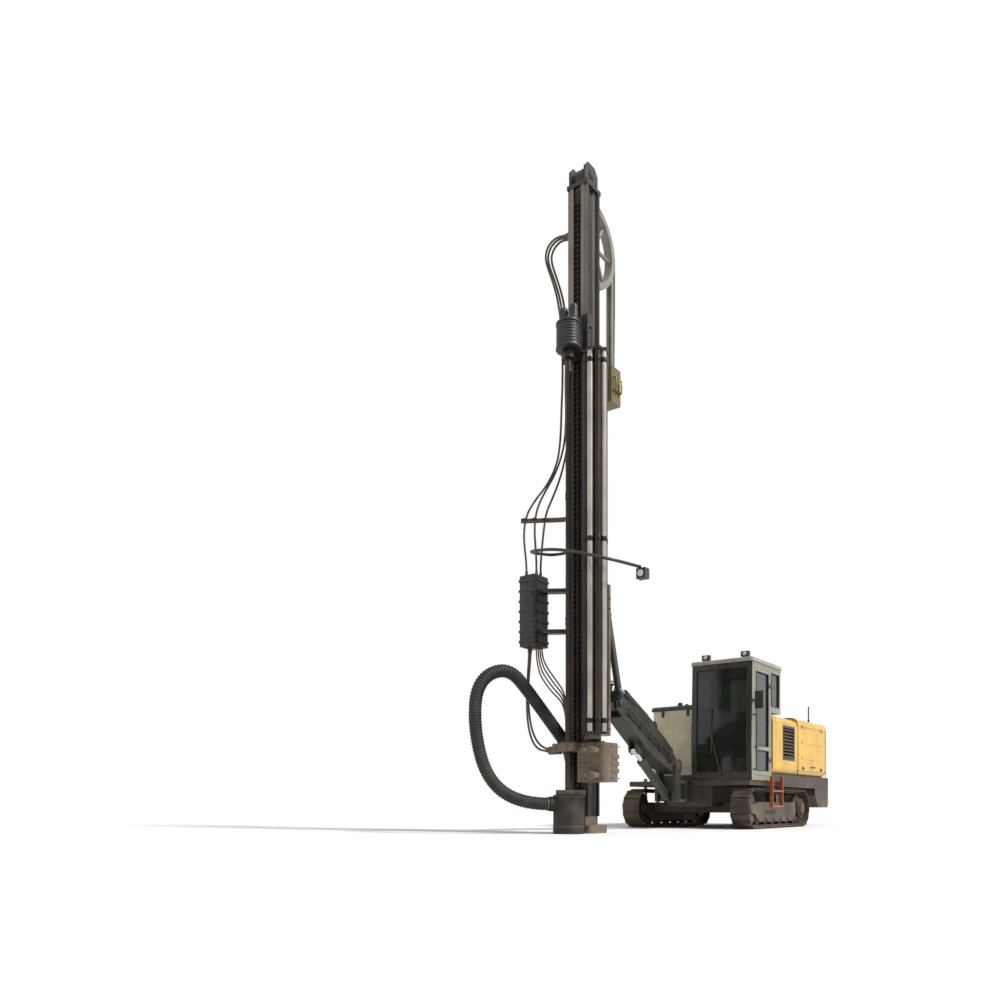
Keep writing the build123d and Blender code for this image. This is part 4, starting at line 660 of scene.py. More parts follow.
# %% Hoses and their sleeves
sleeve_steps = [
    (0, 0.019), (0.012, 0.019), (0, 0.0225), (0.05, 0.0225), (0, 0.0195), (0.014, 0.0195),
]
for hose_name, hose in hoses.items():
    route = [on_beam(*point) for point in hose_routes[hose_name]]
    sleeves = [
        add_turned(route[end], route[ahead] - route[end], sleeve_steps, 16, 0.0015)
        for end, ahead in ((0, 1), (-1, -2))
    ]
    sleeves = dress(joined(sleeves), hose_name + "_sleeves", bolt_steel, "feed", "dusty_steel")
    hose.data.materials.append(hose_rubber)
    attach(hose, "feed")
    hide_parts(hose_name)

# %% [markdown]
# Bolts appear everywhere, so one hexagon head on its washer is modelled at the origin. Every other
# bolt is a copy of it, and all the bolts on one moving body become one piece.

# %% Bolts
def bolt_head(size):
    """Hexagon head on a washer, at the origin, looking up. size is across the flats."""
    bpy.ops.mesh.primitive_cylinder_add(
        vertices=16, radius=0.72 * size, depth=0.16 * size, location=(0, 0, 0.08 * size)
    )
    washer = bpy.context.object
    bpy.ops.mesh.primitive_cylinder_add(
        vertices=6, radius=0.577 * size, depth=0.6 * size, location=(0, 0, 0.46 * size)
    )
    head = soften(settle(), 0.06 * size, 1)
    return joined([head, washer])


def bolt_set(name, body, slot, size, places):
    """A bolt at each (point, direction), made one piece."""
    made = repeated(bolt_head(size), [facing(point, direction) for point, direction in places])
    return dress(made, name, bolt_steel, body, slot)


def ring_of(centre, direction, radius, count, start=0.0):
    """Points of a bolt circle, each with the direction of its bolt."""
    turned = facing(centre, direction)
    places = []
    for i in range(count):
        angle = start + 2 * pi * i / count
        places.append((turned @ Vector((radius * cos(angle), radius * sin(angle), 0)), direction))
    return places


# %% [markdown]
# The tracks are fixed loops, so the bolts of their shoes can be placed by walking round the loop:
# along the ground, up round the idler, back on top and down round the drive wheel.

# %% Bolts of the track shoes
track_y = 1.035
track_half = 1.29
shoe_turn = 0.324
shoe_face = 0.338
wheel_height = 0.36
shoe_total = 46
loop_length = 4 * track_half + 2 * pi * shoe_turn


def on_shoe(way):
    """Middle of the loop at this distance, its outward direction and its running direction."""
    way %= loop_length
    arc = pi * shoe_turn
    if way < 2 * track_half:
        return Vector((way - track_half, 0, 0)), -up, forward
    way -= 2 * track_half
    if way < arc:
        turn = way / shoe_turn
        return (
            Vector((track_half, 0, 0)), Vector((sin(turn), 0, -cos(turn))),
            Vector((cos(turn), 0, sin(turn))),
        )
    way -= arc
    if way < 2 * track_half:
        return Vector((track_half - way, 0, 0)), up, -forward
    turn = (way - 2 * track_half) / shoe_turn
    return (
        Vector((-track_half, 0, 0)), Vector((-sin(turn), 0, cos(turn))),
        Vector((-cos(turn), 0, -sin(turn))),
    )


for hand, side in both_sides:
    track_middle = Vector((track_x, hand * track_y, wheel_height))
    shoe_bolts = []
    for i in range(shoe_total):
        middle, outward, along_loop = on_shoe(i * loop_length / shoe_total)
        centre = track_middle + middle + outward * shoe_face
        for offset in (-0.034, 0.034):
            for across in (-0.11, 0.11):
                place = centre + along_loop * offset + Vector((0, across, 0))
                shoe_bolts.append((place, outward))
    bolt_set("shoe_bolts_" + side, "carrier", "track_steel", 0.019, shoe_bolts)
print("shoe bolts", 2 * len(shoe_bolts))

# %% [markdown]
# The link pins of the chain are round bars behind the gaps of the shoes. A narrow lip closes each
# gap, so no light shines through. The rollers get caps, and the idler and the drive wheel get hubs
# with rings of bolts.

# %% Link pins, roller caps and hubs
pin_ring = 0.309
roller_height = 0.156
roller_xs = [(step - 2.5) * 0.38 for step in range(6)]
for hand, side in both_sides:
    track_middle = Vector((track_x, hand * track_y, wheel_height))
    pins = []
    lips = []
    for i in range(shoe_total):
        middle, outward, along_loop = on_shoe((i + 0.5) * loop_length / shoe_total)
        place = track_middle + middle + outward * pin_ring
        pins.append(Matrix.Translation(place) @ Matrix.Rotation(pi / 2, 4, "X"))
        place = track_middle + middle + outward * (shoe_turn + 0.006)
        turned = Matrix(((0, -1, 0), outward, along_loop)).transposed().to_4x4()
        lips.append(Matrix.Translation(place) @ turned)
    bpy.ops.mesh.primitive_cylinder_add(vertices=12, radius=0.013, depth=0.136)
    pin = soften(settle(), 0.003, 1)
    dress(repeated(pin, pins), "link_pins_" + side, bolt_steel, "carrier", "track_steel")
    lip = add_box((-0.160, -0.004, -0.011), (0.160, 0.004, 0.011), 0.001)
    dress(repeated(lip, lips), "shoe_lips_" + side, bolt_steel, "carrier", "track_steel")

    outside = Vector((0, hand, 0))
    cap_steps = [(0, 0.046), (0.012, 0.046), (0, 0.034), (0.012, 0.03)]
    caps = [
        add_turned((track_x + x, hand * 1.126, roller_height), outside, cap_steps, 20)
        for x in roller_xs
    ]
    hub_steps = [(0, 0.13), (0.012, 0.13), (0, 0.075), (0.03, 0.062), (0.008, 0.04)]
    idler = (track_x + track_half, hand * track_y + hand * 0.05, wheel_height)
    caps.append(add_turned(idler, outside, hub_steps, 28))
    drive_steps = [(0, 0.10), (0.01, 0.10), (0, 0.06), (0.014, 0.05)]
    drive = (track_x - track_half, hand * 1.17, wheel_height)
    caps.append(add_turned(drive, outside, drive_steps, 28))
    dress(joined(caps), "track_caps_" + side, frame_steel, "carrier", "track_steel")
    ring = ring_of(drive, outside, 0.112, 10)
    ring += ring_of((idler[0], idler[1] + hand * 0.011, idler[2]), outside, 0.105, 6)
    ring += ring_of((drive[0], hand * 1.145, drive[2]), outside, 0.155, 12, 0.2)
    bolt_set("hub_bolts_" + side, "carrier", "track_steel", 0.018, ring)
print("link pins", 2 * shoe_total)

# %% [markdown]
# Rubber gaskets run round every pane. Each is a thin closed curve along the edge of its opening,
# turned into a mesh; the curve's bevel gives the round lip.

# %% Gaskets round the panes
def add_tube(points, radius, closed=False, sides=2):
    """Tube of straight stretches through these points."""
    curve = bpy.data.curves.new("tube", "CURVE")
    curve.dimensions = "3D"
    curve.bevel_depth = radius
    curve.bevel_resolution = sides
    curve.use_fill_caps = not closed
    spline = curve.splines.new("POLY")
    spline.points.add(len(points) - 1)
    for point, place in zip(spline.points, points):
        point.co = (*place, 1)
    spline.use_cyclic_u = closed
    tube = bpy.data.objects.new("tube", curve)
    bpy.context.scene.collection.objects.link(tube)
    pick(tube)
    bpy.ops.object.convert(target="MESH")
    bpy.ops.object.shade_smooth_by_angle(angle=radians(45))
    return bpy.context.object


def cab_face(height):
    """X of the cab's front at this height: it bulges a little at the driver's knees."""
    if height < 1.5:
        return -0.13 + 0.02 * (height - 0.85) / 0.65
    return -0.11 - 0.05 * (height - 1.5) / 1.39


def rectangle(x0, x1, y, z0, z1):
    """Corners of an upright rectangle that faces sideways."""
    return [(x0, y, z0), (x1, y, z0), (x1, y, z1), (x0, y, z1)]


lip_radius = 0.011
cab_left, cab_right = 1.17, 0.07
screen_left, screen_right = 1.08, 0.16
screen = [(cab_face(z), screen_right, z) for z in (1.0, 1.5, 2.79)]
screen += [(cab_face(z), screen_left, z) for z in (2.79, 1.5, 1.0)]
rear = [(-1.56, 0.22, 2.19), (-1.56, 1.02, 2.19), (-1.56, 1.02, 2.78), (-1.56, 0.22, 2.78)]
openings = [
    screen, rectangle(-1.47, -1.08, cab_left, 2.19, 2.78),
    rectangle(-1.47, -1.08, cab_right, 2.19, 2.78),
    rectangle(-0.95, -0.28, cab_right, 1.50, 2.74), rear,
]
gaskets = [add_tube(opening, lip_radius, True) for opening in openings]
dress(joined(gaskets), "cab_gaskets", black_rubber, "carrier", "black_rubber")
door_gaskets = [
    add_tube(rectangle(-0.92, -0.33, cab_left, low, high), lip_radius, True)
    for low, high in ((1.45, 2.73), (1.02, 1.37))
]
dress(joined(door_gaskets), "door_gaskets", black_rubber, "cab_door", "black_rubber")

# %% [markdown]
# Small hardware round the cab: a wiper, a grab rail beside the door, the door's handle, the roof
# lamps' lenses and rims, and rows of bolts along the roof and above and below the windscreen.

# %% Cab hardware
wiper_steps = [(0, 0.03), (0.02, 0.03), (0, 0.018), (0.018, 0.016)]
wiper = [
    add_turned((cab_face(0.96), 0.62, 0.955), forward, wiper_steps),
    add_tube(
        [(-0.085, 0.62, 0.957), (-0.08, 0.60, 1.05), (-0.083, 0.46, 1.62), (-0.118, 0.44, 1.70)],
        0.008,
    ),
    add_box((-0.137, 0.435, 1.30), (-0.118, 0.449, 2.10), 0.004),
]
dress(joined(wiper), "wiper", black_steel, "carrier", "black_steel")
rail = [(-0.195, 1.168, 1.02), (-0.195, 1.225, 1.05), (-0.195, 1.225, 1.95), (-0.195, 1.168, 1.98)]
dress(add_tube(rail, 0.013, sides=3), "grab_rail", black_steel, "carrier", "black_steel")
handle = [
    add_box((-0.318, 1.169, 1.395), (-0.282, 1.182, 1.44), 0.004),
    add_box((-0.312, 1.178, 1.40), (-0.292, 1.196, 1.425), 0.004),
    add_bar((-0.302, 1.19, 1.412), (-0.39, 1.19, 1.412), 0.009),
]
dress(joined(handle), "door_handle", black_steel, "cab_door", "black_steel")

lamp_ys = (0.26, 0.98)
lamp_z = 3.045
lens_steps = [(0, 0.036), (0.006, 0.036), (0.006, 0.03), (0.004, 0.018)]
lenses = [add_turned((-0.29, lamp_y, lamp_z), forward, lens_steps, 28) for lamp_y in lamp_ys]
dress(joined(lenses), "roof_lamp_lenses", lens_glass, "carrier", "tinted_glass")
rims = [
    add_ring((-0.288, lamp_y, lamp_z), 0.038, 0.005, turn=(0, pi / 2, 0)) for lamp_y in lamp_ys
]
dress(joined(rims), "roof_lamp_rims", black_steel, "carrier", "black_steel")

rows = [((-1.5 + 0.14 * i, cab_left + 0.001, 2.845), (0, 1, 0)) for i in range(10)]
rows += [((-1.5 + 0.14 * i, cab_right - 0.001, 2.845), (0, -1, 0)) for i in range(10)]
rows += [
    ((cab_face(z), y, z), forward) for z in (0.93, 2.84) for y in (0.13, 0.37, 0.87, 1.11)
]
bolt_set("cab_bolts", "carrier", "cab_paint", 0.012, rows)
print("cab bolts", len(rows))

# %% [markdown]
# Inside the cab there is a sprung seat between two armrests with joysticks, and a console with a
# screen. Cushions are crowned: a subdivided box is blown up in the middle and pinched at its rim.

# %% Seat and console
def cushion(low, high, crown):
    """Padded block: a finely divided box whose faces swell towards their middles."""
    low, high = Vector(low), Vector(high)
    block = high - low - Vector((2 * crown, 2 * crown, 2 * crown))
    bpy.ops.mesh.primitive_cube_add(size=1, location=(0, 0, 0))
    pad = bpy.context.object
    pad.scale = block
    settle()
    bpy.ops.object.mode_set(mode="EDIT")
    bpy.ops.mesh.select_all(action="SELECT")
    bpy.ops.mesh.subdivide(number_cuts=9)
    bpy.ops.object.mode_set(mode="OBJECT")
    half = block / 2
    for vertex in pad.data.vertices:
        near = [1 - min(1, abs(vertex.co[i]) / half[i]) ** 2.4 for i in range(3)]
        for i in range(3):
            if abs(vertex.co[i]) > 0.98 * half[i]:
                swell = crown * (near[(i + 1) % 3] * near[(i + 2) % 3]) ** 0.5
                vertex.co[i] += swell if vertex.co[i] > 0 else -swell
    soften(pad, 0.012, 3)
    pad.location = (low + high) / 2
    pick(pad)
    return settle()


seat_y = 0.62
cab_floor = 0.906
cloth = rubber("seat_cloth", tone(46, 46, 50), 0.15, 160.0)
base = cushion((-0.97, seat_y - 0.25, 1.235), (-0.45, seat_y + 0.25, 1.37), 0.02)
dress(base, "seat_cushion", cloth, "carrier", "black_rubber", "cab_interior")
back = cushion((-0.06, -0.24, 0.0), (0.06, 0.24, 0.62), 0.018)
back.rotation_euler = (0, radians(-8), 0)
back.location = (-0.94, seat_y, 1.36)
pick(back)
settle()
dress(back, "seat_back", cloth, "carrier", "black_rubber")
head_rest = cushion((-1.08, seat_y - 0.13, 1.97), (-0.99, seat_y + 0.13, 2.11), 0.012)
dress(head_rest, "seat_head_rest", cloth, "carrier", "black_rubber")

seat_iron = [
    add_box((-0.94, seat_y - 0.17, cab_floor), (-0.52, seat_y + 0.17, 0.95), 0.006),
    add_box((-0.96, seat_y - 0.22, 1.19), (-0.48, seat_y + 0.22, 1.235), 0.01),
]
for y in (seat_y - 0.05, seat_y + 0.05):
    seat_iron.append(add_bar((-1.02, y, 1.90), (-1.04, y, 1.99), 0.007))
for fold in range(6):
    z = 0.95 + 0.04 * fold
    seat_iron.append(
        add_box((-0.90, seat_y - 0.14, z), (-0.56, seat_y + 0.14, z + 0.034), 0.012)
    )
stick = [
    (0, 0.028), (0.012, 0.028), (0, 0.014), (0.03, 0.011), (0.05, 0.016), (0.045, 0.02),
    (0.015, 0.014),
]
for y in (seat_y - 0.30, seat_y + 0.30):
    seat_iron.append(add_box((-0.90, y - 0.045, 1.43), (-0.48, y + 0.045, 1.52), 0.015))
    seat_iron.append(add_box((-0.86, y - 0.03, 1.20), (-0.78, y + 0.03, 1.45), 0.01))
    seat_iron.append(add_turned((-0.54, y, 1.52), (0.15, 0, 1), stick))
dress(joined(seat_iron), "seat_frame", black_steel, "carrier", "dark_panel")

console = [
    add_box((-0.36, 0.47, cab_floor), (-0.21, 0.77, 1.42), 0.02),
    add_box((-0.30, 0.44, 1.42), (-0.20, 0.80, 1.58), 0.02),
    add_box((-0.33, 0.30, cab_floor), (-0.25, 0.34, 0.94), 0.008),
]
dress(joined(console), "console", dark, "carrier", "dark_panel")
screen_panel = add_box((-0.306, 0.49, 1.45), (-0.299, 0.75, 1.56), 0.002)
dress(screen_panel, "console_screen", lens_glass, "carrier", "tinted_glass")
print("seat and console are in")

# %% [markdown]
# The hood's hardware: rubber seams, paddle latches and handles on both lids, a filler cap, and the
# rows of bolts that hold the sheets down.

# %% Hood hardware
hood_side = 1.19
hood_top = 2.10
hood_corner = 0.13


def hood_arch(x, half_width, top, corner, base=0.995):
    """Points over the hood's outline at this X, from one foot to the other."""
    points = [(x, half_width, base)]
    for hand, turns in ((1, (0, 30, 60, 90)), (-1, (90, 60, 30, 0))):
        for turn in turns:
            y = hand * (half_width - corner + corner * cos(radians(turn)))
            points.append((x, y, top - corner + corner * sin(radians(turn))))
    return points + [(x, -half_width, base)]


seams = [
    add_tube(hood_arch(x, hood_side, hood_top, hood_corner), 0.007) for x in (-2.483, -4.268)
]
dress(joined(seams), "hood_seams", black_rubber, "carrier", "black_rubber")

for hand, side in both_sides:
    lid = "hood_lid_" + side
    hardware = []
    for x in (-3.95, -2.81):
        hardware += [
            add_box((x - 0.05, hand * 1.189, 1.105), (x + 0.05, hand * 1.198, 1.165), 0.004),
            add_box((x - 0.03, hand * 1.197, 1.115), (x + 0.03, hand * 1.21, 1.148), 0.005),
        ]
    grip = [(-3.48, 1.189), (-3.48, 1.225), (-3.28, 1.225), (-3.28, 1.189)]
    hardware.append(add_tube([(x, hand * y, 1.17) for x, y in grip], 0.01))
    dress(joined(hardware), "lid_latches_" + side, black_steel, lid, "dark_panel")
    rows = [((-4.10 + 0.29 * i, hand * hood_side, 1.915), (0, hand, 0)) for i in range(6)]
    bolt_set("lid_bolts_" + side, lid, "yellow_paint", 0.011, rows)

cap_steps = [(0, 0.07), (0.02, 0.07), (0, 0.055), (0.03, 0.055), (0.012, 0.045)]
filler = add_turned((-3.95, -0.75, hood_top - 0.002), up, cap_steps)
dress(filler, "filler_cap", black_steel, "carrier", "dark_panel")
rows = [((-2.40 + 0.20 * i, hood_side, z), (0, 1, 0)) for z in (1.03, 1.93) for i in range(7)]
rows += [
    ((-4.22, hand * hood_side, z), (0, hand, 0)) for hand in (1, -1) for z in (1.1, 1.4, 1.7, 1.95)
]
bolt_set("hood_bolts", "carrier", "yellow_paint", 0.011, rows)

# %% [markdown]
# Small things on top: the stack's clamp and rain flap, and the spring at the foot of the antenna.

# %% Stack and antenna
stack = [add_ring((-2.78, -0.5, z), 0.063, 0.006, 36) for z in (2.24, 2.40)]
flap = [(0, 0.066), (0.006, 0.066), (0.004, 0.05)]
stack.append(add_turned((-2.77, -0.5, 2.475), (-0.3, 0, 1), flap, 28))
stack.append(add_bar((-2.715, -0.53, 2.462), (-2.715, -0.47, 2.462), 0.009))
dress(joined(stack), "stack_fittings", black_steel, "carrier", "dark_panel")
spring = [add_ring((-4.08, 0.9, 2.142 + 0.012 * i), 0.018, 0.005, 24) for i in range(6)]
dress(joined(spring), "antenna_spring", bolt_steel, "carrier", "dark_panel")

# %% [markdown]
# The dust collector's lid closes with toggles. Four pulse valves stand on it, its front is bolted
# down all round, and seams run up its right side.

# %% Dust collector
collector_front = -1.093
toggle_z = 2.20
toggle_places = [((-1.090, y), forward) for y in (-0.45, -0.97)]
toggle_places += [((x, -1.205), (0, -1, 0)) for x in (-2.20, -1.77, -1.34)]
toggles = []
for place, outward in toggle_places:
    base = Vector((*place, toggle_z))
    deep = Vector(outward)
    wide = 0.025 * Vector((abs(deep.y), abs(deep.x), 0))
    inner = base - wide - deep * 0.016 - up * 0.08
    outer = base + wide + deep * 0.006 + up * 0.09
    toggles.append(add_box(inner, outer, 0.005))
    hook = base + deep * 0.012
    toggles.append(add_bar(hook - wide, hook + wide, 0.008))
dress(joined(toggles), "collector_toggles", black_steel, "carrier", "dark_panel")
valve_steps = [(0, 0.06), (0.03, 0.06), (0, 0.045), (0.035, 0.045), (0.02, 0.025)]
valves = [add_turned((x, -0.70, 2.328), up, valve_steps) for x in (-2.2, -1.9, -1.6, -1.3)]
dress(joined(valves), "pulse_valves", aluminium, "carrier", "dark_panel")
spots = [(y, z) for y in (-1.04, -0.82, -0.60, -0.38) for z in (1.17, 1.90)]
spots += [(y, z) for y in (-1.04, -0.38) for z in (1.36, 1.54, 1.72)]
rows = [((collector_front, y, z), forward) for y, z in spots]
bolt_set("collector_bolts", "carrier", "cream_paint", 0.012, rows)
seams = [
    add_tube([(x, -1.19, 1.0), (x, -1.19, 2.235)], 0.006) for x in (-2.12, -1.77, -1.42)
]
dress(joined(seams), "collector_seams", cream, "carrier", "cream_paint")

# %% [markdown]
# Behind the cooler's bars lie the fins of its core. They repeat many times, so each has few faces.
# Bolts hold the counterweight and the cooler from behind, and the deck along its edges.

# %% Cooler, counterweight and deck
bpy.ops.mesh.primitive_cube_add(size=1, location=(0, 0, 0))
fin = bpy.context.object
fin.scale = (0.004, 1.66, 0.004)
settle()
fins = repeated(fin, [Matrix.Translation((-4.591, 0, 1.07 + 0.018 * i)) for i in range(36)])
dress(fins, "cooler_fins", chain_steel, "carrier", "dark_panel")


def rear_bolts(name, slot, size, spots):
    """Bolts on the machine's rear face, the same on the left and on the right."""
    rows = [((-4.63, hand * y, z), (-1, 0, 0)) for hand in (1, -1) for y, z in spots]
    bolt_set(name, "carrier", slot, size, rows)


spots = [(y, z) for y in (0.42, 1.04) for z in (0.55, 0.9)]
rear_bolts("counterweight_bolts", "frame_steel", 0.034, spots)
rear_bolts("cooler_bolts", "dark_panel", 0.014, [(0.87, z) for z in (1.03, 1.3, 1.56, 1.78)])
deck_edge = 0.805
rows = [((-0.08, -1.0 + 0.25 * i, deck_edge), forward) for i in range(9)]
rows += [
    ((-0.35 - 0.3 * i, hand * 1.15, deck_edge), (0, hand, 0)) for hand in (1, -1) for i in range(14)
]
bolt_set("deck_bolts", "carrier", "frame_steel", 0.016, rows)

# %% [markdown]
# The deck in front of the collector is walked on. Its tread has raised diamonds in two directions.

# %% Tread of the deck
bpy.ops.mesh.primitive_cylinder_add(vertices=8, radius=0.013, depth=0.004)
stud = bpy.context.object
stud.scale = (1, 0.36, 1)
settle()
places = []
for row in range(20):
    for column in range(16):
        turn = radians(45 if (row + column) % 2 else -45)
        spot = Matrix.Translation((-0.12 - 0.045 * row, -1.11 + 0.055 * column, 0.852))
        places.append(spot @ Matrix.Rotation(turn, 4, "Z"))
dress(repeated(stud, places), "tread_studs", frame_steel, "carrier", "frame_steel")
print("tread studs", len(places))

# %% [markdown]
# Every pin of the arm shows a stepped cap with four bolts. The boom stands at a fixed angle at rest,
# so places along it are given in its own axes and turned into the machine's.

# %% Pins of the arm
boom_angle = radians(24.7)
arm_y = -0.10
boom_foot = Vector((0.42, arm_y, 1.08))
boom_frame = Matrix.Translation(boom_foot) @ Matrix.Rotation(-boom_angle, 4, "Y")


def on_boom(u, w, y=0.0):
    """Point from its place along the boom, above its axis and left of its middle."""
    return boom_frame @ Vector((u, y, w))


def pin_caps(name, body, point, half, radius, slot="boom_paint"):
    """Stepped cap and bolts at both ends of a crosswise pin."""
    pieces = []
    places = []
    for hand in (1, -1):
        end = Vector((point[0], arm_y + hand * half, point[2]))
        steps = [(0, radius), (0.010, radius), (0, 0.7 * radius), (0.008, 0.62 * radius)]
        pieces.append(add_turned(end, (0, hand, 0), steps, 24))
        places += ring_of(end + Vector((0, hand * 0.008, 0)), (0, hand, 0), 0.8 * radius, 4, 0.78)
    dress(joined(pieces), name, boom_paint, body, slot)
    bolt_set(name + "_bolts", body, slot, 0.14 * radius + 0.005, places)


eye_half = 0.074
pin_caps("lift_pin_caps", "boom_base", boom_foot, 0.185, 0.085)
pin_caps("tilt_pin_caps", "boom", on_boom(2.2, 0), 0.162, 0.075)
pin_caps("lift_eye_caps", "boom", on_boom(1.25, -0.33), eye_half, 0.045)
pin_caps("tilt_eye_caps", "boom", on_boom(0.9, 0.335), eye_half, 0.045)
pin_caps("head_eye_caps", "boom_head", (2.3587, 0, 2.3293), eye_half, 0.04)

# %% [markdown]
# Hard pipes run along both sides of the boom in rubber lined clamps. They are modelled straight,
# along the boom's own axes, and then turned with it.

# %% Pipes on the boom
pipes = []
clamps = []
for hand in (1, -1):
    side_y = hand * 0.150
    line_y = side_y + hand * 0.020
    for w in (-0.045, 0.0, 0.045):
        route = [(0.22, side_y), (0.24, line_y), (1.98, line_y), (2.00, side_y)]
        pipes.append(add_tube([on_boom(u, w, y) for u, y in route], 0.010))
    for u in (0.36, 0.74, 1.12, 1.50, 1.88):
        outer_y = side_y + hand * 0.034
        clamp = add_box((u - 0.02, side_y, -0.07), (u + 0.02, outer_y, 0.07), 0.005)
        clamp.data.transform(boom_frame)
        clamps.append(clamp)
dress(joined(pipes), "boom_pipes", bolt_steel, "boom", "dusty_steel")
dress(joined(clamps), "boom_pipe_clamps", black_rubber, "boom", "black_rubber")

# %% [markdown]
# Each cylinder barrel has two ports, with a pipe that brings the far port's oil back to the near
# end, and two straps that hold the pipe. The feed's holder gets its bolts here too.

# %% Cylinder fittings
def barrel_pipe(name, body, eye, direction, outward, radius, near, far):
    """Two ports on a barrel, the pipe between them and its straps."""
    eye, direction, outward = Vector(eye), Vector(direction).normalized(), Vector(outward)
    port = [(0, 0.022), (0.02, 0.022), (0, 0.016), (0.014, 0.014)]
    pieces = []
    for way in (near, far):
        foot = eye + direction * way + outward * (radius - 0.004)
        pieces.append(add_turned(foot, outward, port, 16))
    lift = outward * (radius + 0.022)
    pieces.append(
        add_tube([eye + direction * near + lift, eye + direction * far + lift], 0.009)
    )
    for way in (near + 0.25 * (far - near), near + 0.75 * (far - near)):
        strap = add_ring((0, 0, 0), radius + 0.002, 0.004, 36, 6)
        strap.data.transform(facing(eye + direction * way, direction))
        pieces.append(strap)
    dress(joined(pieces), name, bolt_steel, body, "dusty_steel")


barrel_pipe(
    "lift_barrel_pipe", "lift_barrel", (0.55, -0.1, 0.56), (0.8387, 0, 0.5446), (0, 1, 0), 0.07,
    0.20, 0.66,
)
barrel_pipe(
    "tilt_barrel_pipe", "tilt_barrel", on_boom(0.9, 0.335), (0.9116, 0, 0.4112),
    (-0.4112, 0, 0.9116), 0.062, 0.20, 0.90,
)
barrel_pipe(
    "swing_barrel_pipe", "swing_barrel", (2.8, 0.13, 2.08), (0, -0.1601, 0.9871),
    (0, 0.9871, 0.1601), 0.052, 0.22, 1.05,
)
rows = [
    ((x, y, z), (0, 1 if y > 0 else -1, 0))
    for x, y in ((2.90, 0.13), (2.90, -0.33), (3.02, 0.113), (3.02, -0.313))
    for z in (1.55, 1.70, 3.35, 3.50)
]
bolt_set("holder_bolts", "feed_holder", "dusty_steel", 0.022, rows)
print("arm fittings are in")

# %% [markdown]
# The suction hose is far too thick for a hanging cord, so it is a rigid piece on the same route as
# its solid: a smooth core with ribs. The ribs are rings set along the curve.

# %% Suction hose
suction_route = [
    (3.8794, -0.2994, 0.43), (4.175, -0.595, 0.43), (4.5144, -0.9344, 0.76),
    (4.6487, -1.0687, 1.48), (4.6204, -1.0404, 2.18), (4.18, -0.82, 2.42), (3.76, -0.70, 2.04),
    (3.32, -0.41, 1.37),
]
core_radius = 0.089
rib_radius = 0.0075
rib_pitch = 0.044
first_rib = 0.09


def as_mesh(curve):
    """Turns a curve into a mesh with smooth shading."""
    pick(curve)
    bpy.ops.object.convert(target="MESH")
    bpy.ops.object.shade_smooth()
    return bpy.context.object


path = as_mesh(smooth_route("suction_path", suction_route, 0.0, 40))
stations = [vertex.co.copy() for vertex in path.data.vertices]
bpy.data.objects.remove(path)
places = []
gone = 0.0
following = first_rib
for first, second in zip(stations, stations[1:]):
    step = (second - first).length
    while gone + step > following:
        share = (following - gone) / step
        places.append(facing(first.lerp(second, share), second - first))
        following += rib_pitch
    gone += step
ribs = repeated(add_ring((0, 0, 0), core_radius, rib_radius), places[:-1])
core = smooth_route("suction_core", suction_route, core_radius, 10)
core.data.bevel_resolution = 6
hose_piece = joined([as_mesh(core), ribs])
dress(hose_piece, "suction_hose_ribbed", black_rubber, "feed", "black_rubber", "suction_hose")
print("suction hose", round(gone, 2), "m long with", len(places), "ribs")

# %% [markdown]
# Steel clamps hold both ends of the suction hose: a band, and a screw housing that sticks out.

# %% Clamps of the suction hose
clamps = []
for start, ahead in ((0, 1), (-1, -2)):
    foot = Vector(suction_route[start])
    direction = (Vector(suction_route[ahead]) - foot).normalized()
    band = [(0, 0.099), (0.03, 0.099), (0, 0.09)]
    clamps.append(add_turned(foot + direction * 0.015, direction, band, 32))
    turned = facing(foot + direction * 0.030, direction)
    housing = add_box((0.092, -0.025, -0.012), (0.117, 0.025, 0.012), 0.003)
    housing.data.transform(turned)
    clamps.append(housing)
dress(joined(clamps), "suction_clamps", bolt_steel, "feed", "dusty_steel")

# %% [markdown]
# The hood round the hole ends in a rubber skirt that seals on the ground. It is a ring of flaps,
# one modelled and the others turned round the drill's axis, under a clamping band.

# %% Skirt of the suction hood
drill_axis = Vector((drill_x, beam_y, 0))
flap = add_box((0.214, -0.034, 0.004), (0.223, 0.034, 0.10), 0.003)
flaps = repeated(flap, turned_round(drill_axis, 20))
dress(flaps, "hood_skirt", black_rubber, "feed", "black_rubber")
bands = [add_ring(drill_axis + up * z, 0.223, 0.007, 48) for z in (0.105, 0.535)]
dress(joined(bands), "hood_bands", bolt_steel, "feed", "dusty_steel")

# %% [markdown]
# The feed chain is a solid strip in the frame. One link is modelled, with two plates, a roller
# and its pin, and copied all the way up the beam.

# %% Links of the feed chain
chain_low, chain_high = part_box("feed_chain")
chain_end = 0.06
link_pitch = 0.076
bpy.ops.mesh.primitive_cylinder_add(vertices=10, radius=0.016, depth=0.05)
roller = soften(bpy.context.object, 0.002, 1)
bpy.ops.mesh.primitive_cylinder_add(vertices=8, radius=0.007, depth=0.082)
pin = soften(bpy.context.object, 0.002, 1)
plates = [
    add_box((-0.014, -0.046, z - 0.003), (0.014, 0.046, z + 0.003), 0.002) for z in (0.031, -0.031)
]
link = joined([roller, pin] + plates)
chain_x = chain_high.x + 0.006
link_count = int((chain_high.z - chain_low.z - 2 * chain_end) / link_pitch)
turn = Matrix.Rotation(pi / 2, 4, "X")
places = [
    Matrix.Translation((chain_x, beam_y, chain_low.z + chain_end + link_pitch * i)) @ turn
    for i in range(link_count)
]
dress(repeated(link, places), "chain_links", chain_steel, "feed", "chain_steel")
print("chain links", link_count)

# %% [markdown]
# Bolts in the side grooves of the beam and on its crown, where caps close the ends of the sheave's
# pin. In the grooves they sit deep enough for the sliding rotation head to pass over them.

